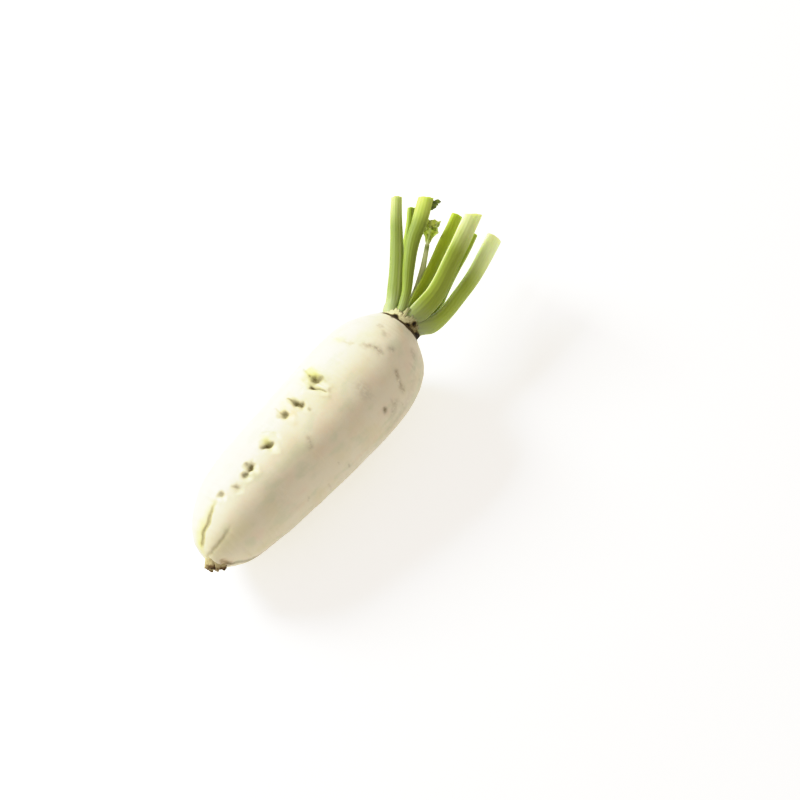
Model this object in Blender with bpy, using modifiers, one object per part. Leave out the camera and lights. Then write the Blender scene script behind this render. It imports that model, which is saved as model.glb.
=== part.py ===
"""A long white turnip of the daikon kind, as picked: a stout root on its side, its leaf stalks cut short.

The root, its crown and its cut stalks are shaped in the root's own frame and then laid down:
  station  runs along the root from the cut end of the tail to the crown,
  angle    runs round it from the face with the rows of pits, towards the left of somebody who looks at that
           face with the tail towards them.
In the scene +X runs from tail to crown, +Z is up, and the origin is the middle of the flat resting spot.
"""

import math

import bmesh
import bpy
import numpy as np
from mathutils import Matrix, Vector

MM = 0.001

# How the root lies: its crown end is raised until its belly carries the weight, and the pitted face is rolled
# aside.
PITCH = math.radians(4.3)
ROLL = math.radians(-15.0)
REST_STATION = 122.15 * MM
REST_SIDE = 2.6 * MM
AXIS_HEIGHT = 38.83 * MM

# The turned outline, as station and radius, from the tail's cut end to the middle of the crown.
ROOT_OUTLINE = [
    (0.0, 0.0), (0.4, 4.0), (2.2, 6.2), (4.6, 11.4), (10.4, 17.8), (18.4, 23.7), (28.0, 28.1), (40.0, 31.6),
    (56.0, 34.4), (76.0, 36.2), (100.0, 37.9), (124.0, 39.2), (146.0, 40.0), (163.0, 39.8), (179.0, 38.2),
    (192.0, 34.6), (202.0, 29.2), (209.0, 23.4), (213.4, 18.6), (215.8, 15.6), (217.0, 13.6), (218.4, 13.6),
    (220.6, 13.4), (222.4, 10.0), (223.4, 5.0), (223.6, 0.0),
]
OUTLINE_POINTS = 80
ROUND_STEPS = 60
ROW_CROWDING = 0.27

# How far the middle line swings to the left of a straight line, station by station.
MIDDLE_LINE = [
    (-5.0, -0.4), (0.0, 0.6), (2.2, 3.2), (4.6, 6.8), (10.4, 8.6), (18.4, 9.2), (28.0, 9.9), (40.0, 10.2),
    (54.0, 9.6), (72.0, 7.8), (100.0, 4.8), (130.0, 2.1), (160.0, 0.2), (190.0, -0.6), (224.0, 0.5),
]

# Swellings that keep the root from being a true turned shape: size, turns round it, waves along it, phase.
SWELLINGS = [(0.5, 2, 1.3, 2.83), (0.35, 3, 1.2, -0.23), (0.15, 5, 2.0, 2.76)]

# Scars of side roots, in two rows on opposite sides: station, angle, half height, half width, depth.
FRONT_PITS = [
    (139.7, 37.0, 3.4, 7.4, 3.2), (134.6, 27.0, 1.7, 6.2, 1.8), (118.5, 31.0, 2.3, 6.2, 2.8),
    (107.2, 33.5, 2.6, 4.8, 2.6), (92.0, 26.0, 1.4, 3.4, 1.0), (83.7, 23.5, 2.8, 5.0, 2.8),
    (64.4, 21.5, 2.6, 4.0, 2.6), (57.6, 19.0, 2.3, 3.0, 1.7), (47.6, 20.5, 1.9, 2.8, 1.2),
    (38.3, 29.5, 2.0, 3.0, 1.5),
]
BACK_PITS = [
    (150.0, 236.0, 2.6, 6.2, 1.8), (127.0, 231.0, 2.6, 6.4, 2.2), (101.0, 234.0, 2.4, 5.2, 2.0),
    (78.0, 229.0, 2.6, 4.8, 2.2), (57.0, 226.0, 2.3, 3.8, 1.6), (41.0, 229.0, 2.0, 3.2, 1.3),
]

# Creases that run together at the tail: angle at the tail, angle at the far end, far station, depth.
CREASES = [
    (26.0, 27.5, 34.0, 1.5), (-9.0, -6.0, 29.0, 1.3), (208.0, 228.0, 36.0, 1.3), (112.0, 108.0, 24.0, 0.9),
]
CREASE_HALF_WIDTH = 1.7

# Broken rootlets at the tail. Each starts at a point (station, left, lift) and heads off along a direction
# given the same way; then come its length and its thickness.
ROOTLETS = [
    ((5.0, 1.6, 6.4), (-0.50, -0.85, -0.10), 11.0, 4.2), ((3.0, 6.6, 1.0), (-0.62, -0.78, 0.10), 9.0, 5.0),
    ((3.0, 2.0, -4.0), (-0.80, -0.30, -0.50), 6.5, 3.6),
]
ROOTLET_SIDES = 9

# Dry bases of old leaves round the crown, drawn at random within these limits.
OLD_BASES = 11
OLD_BASE_SEED = 7
OLD_BASE_RADIUS = 13.4
OLD_BASE_FOOT = 1.2
OLD_BASE_WIDTH = (6.6, 9.0)
OLD_BASE_HEIGHT = (2.8, 4.8)
OLD_BASE_THICKNESS = 1.7
CROWN_STATION = 217.4

# Leaf stalks, in the crown's frame: along the root from the crown's foot, to the left, and lifted towards the
# face. path: points of the middle line, the first at the foot. backs: the angle that the stalk's back faces at
# its foot and at its cut. sizes: share of the length, width, thickness. slant: how far the cut is off square.
STALKS = {
    "leaf_stalk_1": dict(
        path=[(0, 10.2, 1.4), (6, 14.1, 2.4), (17, 19.9, 3.8), (32, 29.5, 6.0), (46.5, 39.8, 8.5),
              (60.7, 50.6, 11.0), (70.3, 57.5, 12.5)],
        backs=(82.0, 70.0), slant=6.0,
        sizes=[(0, 8.0, 5.6), (0.2, 9.2, 8.6), (0.5, 8.8, 7.6), (1, 8.6, 7.4)]),
    "leaf_stalk_2": dict(
        path=[(0, 7.4, -6.9), (12.7, 12.6, -7.4), (29.1, 20.9, -6.4), (48.8, 30.3, -5.2),
              (66.6, 38.9, -4.4), (77.6, 45.5, -4.0)],
        backs=(132.0, 140.0), slant=-10.0,
        sizes=[(0, 8.2, 5.6), (0.3, 8.2, 6.4), (1, 7.6, 6.0)]),
    "leaf_stalk_3": dict(
        path=[(0, 5.8, 8.4), (7.2, 7.8, 10.6), (19.3, 13.0, 12.6), (31.5, 20.4, 14.2), (42.0, 26.3, 15.6),
              (52.3, 30.3, 16.8), (63.5, 33.3, 18.2), (79.6, 40.7, 20.0)],
        backs=(34.0, 16.0), slant=10.0,
        sizes=[(0, 8.2, 5.6), (0.25, 9.8, 6.8), (0.6, 10.2, 7.0), (0.8, 11.4, 7.4), (1, 10.6, 7.6)]),
    "leaf_stalk_4": dict(
        path=[(0, -2.4, 10.0), (9.0, -2.1, 11.6), (21.7, -3.1, 13.0), (30.0, -3.5, 14.0),
              (39.0, -3.0, 15.0), (49.0, -1.6, 15.8), (59.5, 0.3, 16.6), (72.8, 3.4, 17.6),
              (90.3, 7.9, 18.6)],
        backs=(-13.0, -20.0), slant=-6.0,
        sizes=[(0, 8.2, 5.6), (0.15, 10.2, 6.6), (0.4, 9.2, 6.8), (0.75, 9.4, 7.2), (1, 10.4, 7.6)]),
    "leaf_stalk_5": dict(
        path=[(0, -9.0, 4.7), (8.5, -13.6, 3.8), (17.9, -17.8, 3.2), (30.0, -19.6, 3.0),
              (43.8, -19.1, 3.4), (57.7, -18.3, 3.8), (69.1, -17.1, 4.2), (80.0, -15.4, 4.6),
              (91.6, -13.2, 5.0)],
        backs=(-63.0, -42.0), slant=6.0,
        sizes=[(0, 8.2, 5.6), (0.12, 12.2, 8.4), (0.35, 12.2, 9.0), (0.8, 12.2, 9.0), (1, 12.4, 9.0)]),
    "leaf_stalk_6": dict(
        path=[(0, -8.7, -5.0), (13.0, -8.3, -8.0), (28.7, -6.9, -10.4), (42.7, -5.8, -12.0),
              (54.8, -4.6, -13.4), (64.1, -3.6, -14.4), (77.8, -1.7, -15.8), (94.0, 1.5, -17.6)],
        backs=(-120.0, -150.0), slant=-14.0,
        sizes=[(0, 8.2, 5.6), (0.3, 8.6, 6.6), (1, 7.6, 6.6)]),
    "leaf_stalk_7": dict(
        path=[(0, 0.4, 2.8), (12.6, 2.9, 3.0), (25.6, 4.2, 3.0), (36.0, 5.3, 3.0), (46.7, 7.3, 3.1),
              (56.9, 9.9, 3.2), (68.0, 12.7, 3.5), (79.9, 14.9, 3.8), (90.8, 17.8, 4.0)],
        backs=(-60.0, -30.0), slant=5.0,
        sizes=[(0, 5.4, 5.2), (0.3, 7.2, 5.8), (0.6, 8.0, 6.2), (1, 8.2, 6.6)]),
}
STALK_RINGS = 18
STALK_SIDES = 14
STALK_SUNK = 2.0
# Near its foot a stalk is a sheath that wraps the crown; above this height it has its own section.
SHEATH_HEIGHT = 14.0
SHEATH_RADIUS = 10.4
CHANNEL_DEPTH = 0.22

# The youngest leaf, thin and still curled, in the middle of the bunch.
YOUNG_LEAF = dict(
    path=[(0, 4.8, -3.2), (12.1, 6.1, -2.6), (21.3, 7.0, -2.0), (29.2, 9.0, -1.0), (37.8, 12.1, 0.4),
              (46.8, 15.9, 2.0), (54.0, 19.1, 3.4)],
    backs=(150.0, 190.0), slant=0.0,
    sizes=[(0, 3.6, 3.4), (0.5, 3.6, 3.4), (1, 3.4, 2.8)])
BLADE_LENGTH = 40.0
BLADE_WIDTH = 8.5
BLADE_THICKNESS = 1.0
BLADE_CURL = -300.0
BLADE_LOBES = 3.5
BLADE_RINGS = 24
BLADE_SIDES = 10

# Rags of leaf left where blades were stripped from a stalk: stalk, share of its length, side, length, width.
RAGS = [("leaf_stalk_3", 0.94, 1.0, 8.0, 5.0)]
RAG_SPLAY = 0.55
RAG_THICKNESS = 1.1
RAG_SUNK = 2.4

# Room left between a stalk and the crown that it grows from.
SEAM = 0.3
# The cutter that leaves the flat resting spot.
FLOOR_CUTTER_SIZE = 400.0 * MM
FLOOR_CUTTER_DEPTH = 20.0 * MM

WHITE_SKIN = (0.86, 0.83, 0.72)
STALK_GREEN = (0.42, 0.58, 0.13)
YOUNG_GREEN = (0.36, 0.55, 0.10)


def clear_scene():
    """Removes every object that the scene starts with."""
    for obj in list(bpy.data.objects):
        bpy.data.objects.remove(obj)


def new_collection(name):
    """A collection in the scene."""
    collection = bpy.data.collections.new(name)
    bpy.context.scene.collection.children.link(collection)
    return collection


def new_material(name, colour, roughness):
    """A Principled material of one colour, not metallic."""
    material = bpy.data.materials.new(name)
    material.use_nodes = True
    shader = material.node_tree.nodes["Principled BSDF"]
    shader.inputs["Base Color"].default_value = (*colour, 1.0)
    shader.inputs["Roughness"].default_value = roughness
    shader.inputs["Metallic"].default_value = 0.0
    material.diffuse_color = (*colour, 1.0)
    return material


def new_object(name, mesh, collection, material=None):
    """An object in a collection, with a material."""
    obj = bpy.data.objects.new(name, mesh)
    collection.objects.link(obj)
    if material:
        mesh.materials.clear()
        mesh.materials.append(material)
    return obj


def smooth_value(table, x):
    """The value at x of a smooth curve through a table of (x, value) rows, in cubic pieces."""
    xs, ys = np.array(table, float).T
    slopes = np.gradient(ys, xs)
    i = np.clip(np.searchsorted(xs, x) - 1, 0, len(xs) - 2)
    step = xs[i + 1] - xs[i]
    t = (x - xs[i]) / step
    return (
        (2 * t**3 - 3 * t**2 + 1) * ys[i] + (t**3 - 2 * t**2 + t) * step * slopes[i]
        + (3 * t**2 - 2 * t**3) * ys[i + 1] + (t**3 - t**2) * step * slopes[i + 1]
    )


def smooth_line(points, count):
    """Points at even distances along a Catmull-Rom curve through the given points."""
    given = np.array(points, float)
    ends = np.vstack([2 * given[0] - given[1], given, 2 * given[-1] - given[-2]])
    per_piece = 16
    fine = []
    for i in range(1, len(ends) - 2):
        before, here, there, after = ends[i - 1 : i + 3]
        for t in np.linspace(0.0, 1.0, per_piece, endpoint=False):
            fine.append(
                0.5 * (2 * here + (there - before) * t + (2 * before - 5 * here + 4 * there - after) * t**2
                       + (3 * here - before - 3 * there + after) * t**3)
            )
    fine = np.vstack([fine, given[-1:]])
    run = np.concatenate([[0.0], np.cumsum(np.linalg.norm(np.diff(fine, axis=0), axis=1))])
    even = np.linspace(0.0, run[-1], count)
    return np.stack([np.interp(even, run, column) for column in fine.T], axis=1)


def lay_down(along, left, lift):
    """A point of the root's own frame, in millimetres, in the scene: rolled, pitched and set on its resting
    spot."""
    point = Vector((along * MM - REST_STATION, left * MM, lift * MM))
    turned = Matrix.Rotation(-PITCH, 3, "Y") @ Matrix.Rotation(-ROLL, 3, "X") @ point
    return turned + Vector((0, -REST_SIDE, AXIS_HEIGHT))


def middle_left(station):
    """How far left of straight the root's middle line is at a station."""
    return float(smooth_value(MIDDLE_LINE, station))


def angle_between(a, b):
    """The signed angle from b to a, in radians, the short way round."""
    return math.remainder(a - b, 2 * math.pi)


def swelling(station, angle):
    """How far the skin stands out there in broad swellings. They die away at the tail and the crown."""
    length = ROOT_OUTLINE[-1][0]
    fade = math.sin(math.pi * min(max(station / length, 0.0), 1.0))
    return fade * sum(
        size * math.sin(turns * angle + waves * 2 * math.pi * station / length + phase)
        for size, turns, waves, phase in SWELLINGS
    )


def pit_depth(station, angle, radius):
    """How deep the scars of side roots lie there: each is a lens across the root, with soft lips."""
    depth = 0.0
    for at, centre, half_height, half_width, deep in FRONT_PITS + BACK_PITS:
        up = (station - at) / half_height
        across = radius * angle_between(angle, math.radians(centre)) / half_width
        reach = math.hypot(up, across)
        if reach < 3.0:
            lip = 0.22 * deep * math.exp(-((reach - 1.7) ** 2) / 0.18)
            depth += deep * math.exp(-(reach**2) * 1.1) - lip
    return depth


def crease_depth(station, angle, radius):
    """How deep the creases lie there. Each starts at the tail and fades at its far station."""
    depth = 0.0
    for near, far, end, deep in CREASES:
        share = station / end
        if share < 1.15:
            line = math.radians(near + (far - near) * share)
            off = radius * angle_between(angle, line) / CREASE_HALF_WIDTH
            fade = min(1.0, station / 4.0) * max(0.0, 1.0 - max(0.0, share - 0.6) / 0.55)
            depth += deep * fade * math.exp(-(off**2))
    return depth


def crowded(angle):
    """Moves the lines along the root towards its two rows of pits, where they are needed."""
    row = math.radians(FRONT_PITS[0][1])
    return angle - ROW_CROWDING * math.sin(2 * (angle - row))


def turned_mesh(name, outline):
    """A closed turned mesh about X, from a Screw modifier on the outline, with its poles welded."""
    mesh = bpy.data.meshes.new(name)
    rows = [(station * MM, 0.0, radius * MM) for station, radius in outline]
    mesh.from_pydata(rows, [(i, i + 1) for i in range(len(rows) - 1)], [])
    blank = bpy.data.objects.new(name, mesh)
    bpy.context.scene.collection.objects.link(blank)
    screw = blank.modifiers.new("turned", "SCREW")
    screw.axis = "X"
    screw.steps = screw.render_steps = ROUND_STEPS
    screw.use_merge_vertices = True
    screw.merge_threshold = 0.00001
    bpy.context.view_layer.update()
    turned = bpy.data.meshes.new_from_object(blank.evaluated_get(bpy.context.evaluated_depsgraph_get()))
    bpy.data.objects.remove(blank)
    weld_and_face_outwards(turned)
    return turned


def weld_and_face_outwards(mesh):
    """Welds points that coincide and turns every face outwards."""
    work = bmesh.new()
    work.from_mesh(mesh)
    bmesh.ops.remove_doubles(work, verts=work.verts, dist=0.00001)
    bmesh.ops.recalc_face_normals(work, faces=work.faces)
    work.to_mesh(mesh)
    work.free()


def shape_root(mesh):
    """Presses the pits and creases into the turned blank, adds its swellings, bends it and lays it down."""
    for vertex in mesh.vertices:
        station = vertex.co.x / MM
        radius = math.hypot(vertex.co.y, vertex.co.z) / MM
        angle = crowded(math.atan2(vertex.co.y, vertex.co.z))
        if radius > 0.01:
            pressed = pit_depth(station, angle, radius) + crease_depth(station, angle, radius)
            radius += swelling(station, angle) - pressed
        left = middle_left(station) + radius * math.sin(angle)
        vertex.co = lay_down(station, left, radius * math.cos(angle))


def loft(name, rings):
    """A closed mesh through rings of points, all with the same number of points, with a fan at both ends."""
    count = len(rings[0])
    points = [point for ring in rings for point in ring]
    faces = []
    for i in range(len(rings) - 1):
        for j in range(count):
            k = (j + 1) % count
            faces.append((i * count + j, i * count + k, (i + 1) * count + k, (i + 1) * count + j))
    for ring, first in ((rings[0], 0), (rings[-1], (len(rings) - 1) * count)):
        centre = len(points)
        points.append(sum(ring, Vector()) / count)
        faces += [(first + j, first + (j + 1) % count, centre) for j in range(count)]
    mesh = bpy.data.meshes.new(name)
    mesh.from_pydata(points, [], faces)
    weld_and_face_outwards(mesh)
    return mesh


def on_crown(along, left, lift):
    """A point of the crown's frame, whose zero is the middle of the crown's foot, in the scene."""
    return lay_down(CROWN_STATION + along, middle_left(CROWN_STATION) + left, lift)


def stalk_path(stalk, count):
    """Points at even distances along a stalk's middle line, in the crown's frame, from a foot in the crown."""
    rows = [Vector(row) for row in stalk["path"]]
    sunk = rows[0] - (rows[1] - rows[0]).normalized() * STALK_SUNK
    return [Vector(row) for row in smooth_line([sunk] + rows, count)]


def outward(angle):
    """The direction away from the middle of the crown at that angle, in degrees."""
    turn = math.radians(angle)
    return Vector((0.0, math.sin(turn), math.cos(turn)))


def stalk_axes(stalk, path, i):
    """The across, back and ahead directions of a stalk at the i-th point of its path."""
    foot, tip = stalk["backs"]
    back = outward(foot + (tip - foot) * i / (len(path) - 1))
    ahead = (path[min(i + 1, len(path) - 1)] - path[max(i - 1, 0)]).normalized()
    back = (back - ahead * back.dot(ahead)).normalized()
    return ahead.cross(back).normalized(), back, ahead


def stalk_size(stalk, t):
    """Width and thickness at share t of a stalk."""
    rows = stalk["sizes"]
    width = smooth_value([row[:2] for row in rows], t)
    thickness = smooth_value([(row[0], row[2]) for row in rows], t)
    return float(width), float(thickness)


def stalk_ring(centre, across, back, width, thick, sheath):
    """One section of a stalk: a round back and, on the inner side, a shallow channel. A sheath, 1 at the foot
    and 0 above it, has no channel and is bent round the crown instead."""
    ring = []
    for j in range(STALK_SIDES):
        turn = 2 * math.pi * (j + 0.5) / STALK_SIDES
        side, depth = math.cos(turn) * width / 2, math.sin(turn) * thick / 2
        if depth < 0:
            depth += (1 - sheath) * CHANNEL_DEPTH * thick * math.exp(-((math.cos(turn) / 0.45) ** 2))
        depth -= sheath * side**2 / (2 * SHEATH_RADIUS)
        ring.append(centre + across * side + back * depth)
    return ring


def sheath_share(along):
    """1 at the foot of a stalk, 0 above the height of its sheath."""
    t = min(max(along / SHEATH_HEIGHT, 0.0), 1.0)
    return 1 - t * t * (3 - 2 * t)


def stalk_mesh(name, stalk):
    """A cut leaf stalk as a loft along its curve, with a slanted cut at the tip."""
    path = stalk_path(stalk, STALK_RINGS)
    slant = math.tan(math.radians(stalk["slant"]))
    rings = []
    for i, centre in enumerate(path):
        across, back, ahead = stalk_axes(stalk, path, i)
        width, thick = stalk_size(stalk, i / (STALK_RINGS - 1))
        ring = stalk_ring(centre, across, back, width, thick, sheath_share(centre.x))
        if i == STALK_RINGS - 1:
            ring = [p + ahead * slant * (p - centre).dot(across) for p in ring]
        rings.append([on_crown(*p) for p in ring])
    return loft(name, rings)


def rag_mesh(name, stalk, share, side, length, width):
    """A torn rag of leaf: a thin strip that leaves the stalk's edge, mostly forwards, and curls back."""
    path = stalk_path(stalk, STALK_RINGS)
    i = round(share * (STALK_RINGS - 1))
    across, back, ahead = stalk_axes(stalk, path, i)
    start = path[i] + across * side * (stalk_size(stalk, share)[0] / 2 - RAG_SUNK)
    heading = (ahead + across * side * RAG_SPLAY).normalized()
    sideways = (across * side - ahead * RAG_SPLAY).normalized()
    rings = []
    steps = 6
    for step in range(steps):
        t = step / (steps - 1)
        centre = start + heading * length * t + sideways * RAG_SUNK * t - back * 0.2 * length * t**2
        half = width / 2 * (1.0 - 0.7 * t**2)
        corners = [(-half, -0.5), (half, -0.5), (half, 0.5), (-half, 0.5)]
        rings.append([on_crown(*(centre + sideways * a + back * b * RAG_THICKNESS)) for a, b in corners])
    return loft(name, rings)


def young_leaf_mesh(name):
    """The youngest leaf: a thin stalk that runs on into a small lobed blade, rolled over at its tip."""
    stalk = YOUNG_LEAF
    path = stalk_path(stalk, STALK_RINGS)
    rings = []
    for i, centre in enumerate(path):
        across, back, ahead = stalk_axes(stalk, path, i)
        width, thick = stalk_size(stalk, i / (STALK_RINGS - 1))
        rings.append(flat_ring(centre, across, back, width, thick))
    centre = path[-1]
    step = BLADE_LENGTH / BLADE_RINGS
    for i in range(1, BLADE_RINGS + 1):
        t = i / BLADE_RINGS
        turn = Matrix.Rotation(math.radians(BLADE_CURL) * t**2.6, 3, across)
        heading, face = turn @ ahead, turn @ back
        centre = centre + heading * step * (1.0 - 0.45 * t)
        lobes = 1.0 + 0.28 * math.cos(2 * math.pi * BLADE_LOBES * t)
        width = 2.6 + BLADE_WIDTH * math.sin(math.pi * min(t, 0.96)) ** 0.7 * lobes
        thick = max(BLADE_THICKNESS, 2.6 * (1.0 - 3.0 * t))
        rings.append(flat_ring(centre, across, face, width, thick))
    return loft(name, [[on_crown(*p) for p in ring] for ring in rings])


def flat_ring(centre, across, out, width, thick):
    """An oval section of the youngest leaf."""
    turns = [2 * math.pi * (j + 0.5) / BLADE_SIDES for j in range(BLADE_SIDES)]
    return [centre + across * math.cos(a) * width / 2 + out * math.sin(a) * thick / 2 for a in turns]


def rootlet_mesh(name, start, heading, length, thickness):
    """A broken rootlet: a short tapering peg at the tail, with a blunt torn end."""
    work = bmesh.new()
    bmesh.ops.create_cone(
        work, cap_ends=True, segments=ROOTLET_SIDES,
        radius1=thickness / 2, radius2=thickness / 2.9, depth=length,
    )
    rotation = Vector(heading).to_track_quat("Z", "Y").to_matrix()
    for vertex in work.verts:
        vertex.co = lay_down(*(Vector(start) + rotation @ (vertex.co + Vector((0, 0, length / 2)))))
    mesh = bpy.data.meshes.new(name)
    work.to_mesh(mesh)
    work.free()
    weld_and_face_outwards(mesh)
    return mesh


def old_base_mesh(name, angle, width, height, lean, room=0.0):
    """The dry base of an old leaf: a short curved scale that hugs the crown, thinner at its torn edge. room
    makes it larger all round."""
    rings = []
    steps = 4
    spread = (width / 2 + room) / OLD_BASE_RADIUS
    for step in range(steps):
        t = step / (steps - 1)
        along = OLD_BASE_FOOT - room + (height - OLD_BASE_FOOT + 2 * room) * t
        thick = OLD_BASE_THICKNESS * (1.15 - 0.55 * t)
        inner = OLD_BASE_RADIUS - 0.5 + lean * t - room
        outer = inner + thick + 0.5 + 2 * room
        half = spread * (1.0 - 0.35 * t)
        turns = [angle + half * side for side in (-1.0, -0.35, 0.35, 1.0)]
        ring = [on_crown(along, outer * math.sin(turn), outer * math.cos(turn)) for turn in turns]
        ring += [on_crown(along, inner * math.sin(turn), inner * math.cos(turn)) for turn in reversed(turns)]
        rings.append(ring)
    return loft(name, rings)


def old_bases(room=0.0):
    """The dry bases of old leaves round the crown, each a closed mesh, room larger all round."""
    draw = np.random.default_rng(OLD_BASE_SEED)
    made = []
    for i in range(OLD_BASES):
        angle = 2 * math.pi * (i + draw.uniform(-0.2, 0.2)) / OLD_BASES
        width = draw.uniform(*OLD_BASE_WIDTH)
        height = draw.uniform(*OLD_BASE_HEIGHT)
        made.append(old_base_mesh(f"old_base_{i}", angle, width, height, draw.uniform(0.3, 1.4), room))
    return made


def join(obj, others):
    """Joins other closed meshes into obj by one Boolean union, applies it and removes them."""
    helpers = new_collection(obj.name + "_joined")
    for i, mesh in enumerate(others):
        new_object(f"{obj.name}_joined_{i}", mesh, helpers)
    union = obj.modifiers.new("union", "BOOLEAN")
    union.operation = "UNION"
    union.solver = "EXACT"
    union.operand_type = "COLLECTION"
    union.collection = helpers
    apply_modifiers(obj)
    for helper in list(helpers.objects):
        bpy.data.objects.remove(helper)
    bpy.data.collections.remove(helpers)


def cut(obj, cutter):
    """Cuts one closed object from another by a Boolean, and applies it."""
    difference = obj.modifiers.new("cut", "BOOLEAN")
    difference.operation = "DIFFERENCE"
    difference.solver = "EXACT"
    difference.object = cutter
    apply_modifiers(obj)


def apply_modifiers(obj):
    """Replaces obj's mesh by the mesh that its modifiers make."""
    bpy.context.view_layer.update()
    material = obj.data.materials[0] if obj.data.materials else None
    mesh = bpy.data.meshes.new_from_object(obj.evaluated_get(bpy.context.evaluated_depsgraph_get()))
    obj.modifiers.clear()
    obj.data = mesh
    if material:
        mesh.materials.clear()
        mesh.materials.append(material)


def keep_largest(mesh):
    """Removes the crumbs that a cut leaves beside the body, which is the connected part with most points."""
    work = bmesh.new()
    work.from_mesh(mesh)
    left = set(work.verts)
    largest = set()
    while left:
        part = set()
        front = [left.pop()]
        while front:
            vertex = front.pop()
            part.add(vertex)
            near = [edge.other_vert(vertex) for edge in vertex.link_edges]
            front += [other for other in near if other in left]
            left.difference_update(near)
        largest = max(largest, part, key=len)
    bmesh.ops.delete(work, geom=[vertex for vertex in work.verts if vertex not in largest], context="VERTS")
    work.to_mesh(mesh)
    work.free()


def new_cutter(name, mesh, cutters):
    """A helper that cuts and isn't part of the object."""
    obj = new_object(name, mesh, cutters)
    obj.hide_render = True
    obj.display_type = "WIRE"
    return obj


def floor_cutter(cutters):
    """A block whose top is the surface that the root lies on."""
    mesh = bpy.data.meshes.new("floor_cutter")
    work = bmesh.new()
    bmesh.ops.create_cube(work, size=1.0)
    bmesh.ops.scale(work, vec=(FLOOR_CUTTER_SIZE, FLOOR_CUTTER_SIZE, FLOOR_CUTTER_DEPTH), verts=work.verts)
    bmesh.ops.translate(work, vec=(0.0, 0.0, -FLOOR_CUTTER_DEPTH / 2), verts=work.verts)
    work.to_mesh(mesh)
    work.free()
    return new_cutter("floor_cutter", mesh, cutters)


def crown_cutter(cutters):
    """The root's end, larger by the seam, which shapes the feet of the stalks to the crown."""
    crown = ROOT_OUTLINE[11:]
    outline = [(station + SEAM, radius + SEAM if radius > 0 else 0.0) for station, radius in crown]
    outline = [(outline[0][0], 0.0)] + outline
    mesh = turned_mesh("crown_cutter", outline)
    for vertex in mesh.vertices:
        station = vertex.co.x / MM
        vertex.co = lay_down(station, middle_left(station) + vertex.co.y / MM, vertex.co.z / MM)
    cutter = new_cutter("crown_cutter", mesh, cutters)
    join(cutter, old_bases(SEAM))
    return cutter


def build_root(parts, cutters, material):
    """The root with its crown: turned, shaped, joined with its rootlets and old bases, and cut flat below."""
    mesh = turned_mesh("root", smooth_line(ROOT_OUTLINE, OUTLINE_POINTS))
    shape_root(mesh)
    root = new_object("root", mesh, parts, material)
    rootlets = [rootlet_mesh(f"rootlet_{i}", *row) for i, row in enumerate(ROOTLETS)]
    join(root, rootlets + old_bases())
    cut(root, floor_cutter(cutters))
    return root


def build_stalks(parts, cutters, material):
    """The cut leaf stalks, each shaped to the crown at its foot, with the rag of leaf that is left on one."""
    crown = crown_cutter(cutters)
    for name, stalk in STALKS.items():
        obj = new_object(name, stalk_mesh(name, stalk), parts, material)
        own_rags = [row[1:] for row in RAGS if row[0] == name]
        rags = [rag_mesh(f"{name}_rag_{i}", stalk, *row) for i, row in enumerate(own_rags)]
        if rags:
            join(obj, rags)
        cut(obj, crown)
        keep_largest(obj.data)
    return crown


def build_young_leaf(parts, crown, material):
    """The youngest leaf, shaped to the crown at its foot."""
    obj = new_object("young_leaf", young_leaf_mesh("young_leaf"), parts, material)
    cut(obj, crown)
    keep_largest(obj.data)


def main():
    """Builds the turnip."""
    clear_scene()
    parts = new_collection("long_white_turnip")
    cutters = new_collection("cutters")
    build_root(parts, cutters, new_material("root_skin", WHITE_SKIN, 0.45))
    crown = build_stalks(parts, cutters, new_material("stalk_green", STALK_GREEN, 0.5))
    build_young_leaf(parts, crown, new_material("young_green", YOUNG_GREEN, 0.55))
    for obj in parts.objects:
        obj.data.shade_smooth()
        obj.data.set_sharp_from_angle(angle=math.radians(40))


main()
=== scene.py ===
"""A long white turnip of the daikon kind: its skin, crown, leaf stalks and youngest leaf, in soft light.

Sizes are in millimetres in the root's own frame, and only the finished meshes are in metres in the scene:
  station  runs along the root from the cut end of the tail to the crown,
  angle    runs round it from the face with the scars, towards the left of somebody who looks at that face
           with the tail towards them,
  left and lift give the same place square to the root's line, with lift towards that face.
Each new piece is a grid of rings round a line, worked out as whole arrays. Its mesh carries marks, which are
values on its points that its finish reads. The mark own_place is the point in the piece's own millimetres.
"""

import logging
import math
from collections.abc import Mapping, Sequence
from dataclasses import dataclass
from enum import Enum
from typing import Any

import bpy
import numpy as np
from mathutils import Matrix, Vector


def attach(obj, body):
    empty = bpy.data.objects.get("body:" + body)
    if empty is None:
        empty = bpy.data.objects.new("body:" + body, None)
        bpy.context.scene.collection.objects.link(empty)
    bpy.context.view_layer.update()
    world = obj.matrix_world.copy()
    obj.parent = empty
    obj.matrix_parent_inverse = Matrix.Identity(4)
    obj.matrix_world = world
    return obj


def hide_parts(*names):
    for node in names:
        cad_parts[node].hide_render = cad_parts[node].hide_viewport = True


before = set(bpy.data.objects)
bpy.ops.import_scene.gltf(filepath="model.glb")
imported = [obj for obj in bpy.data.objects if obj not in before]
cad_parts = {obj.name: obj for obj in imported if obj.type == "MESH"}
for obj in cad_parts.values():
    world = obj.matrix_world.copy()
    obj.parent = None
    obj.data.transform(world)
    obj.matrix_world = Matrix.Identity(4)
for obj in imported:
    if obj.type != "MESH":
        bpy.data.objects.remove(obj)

MM = 0.001
BODY = "root"
STALK_RINGS = 150
STALK_SEED = 40
Triple = tuple[float, float, float]
Colour = Triple
Rows = Sequence[tuple[float, ...]]
Socket = bpy.types.NodeSocket
Paint = Socket | Colour

log = logging.getLogger("turnip")


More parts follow.
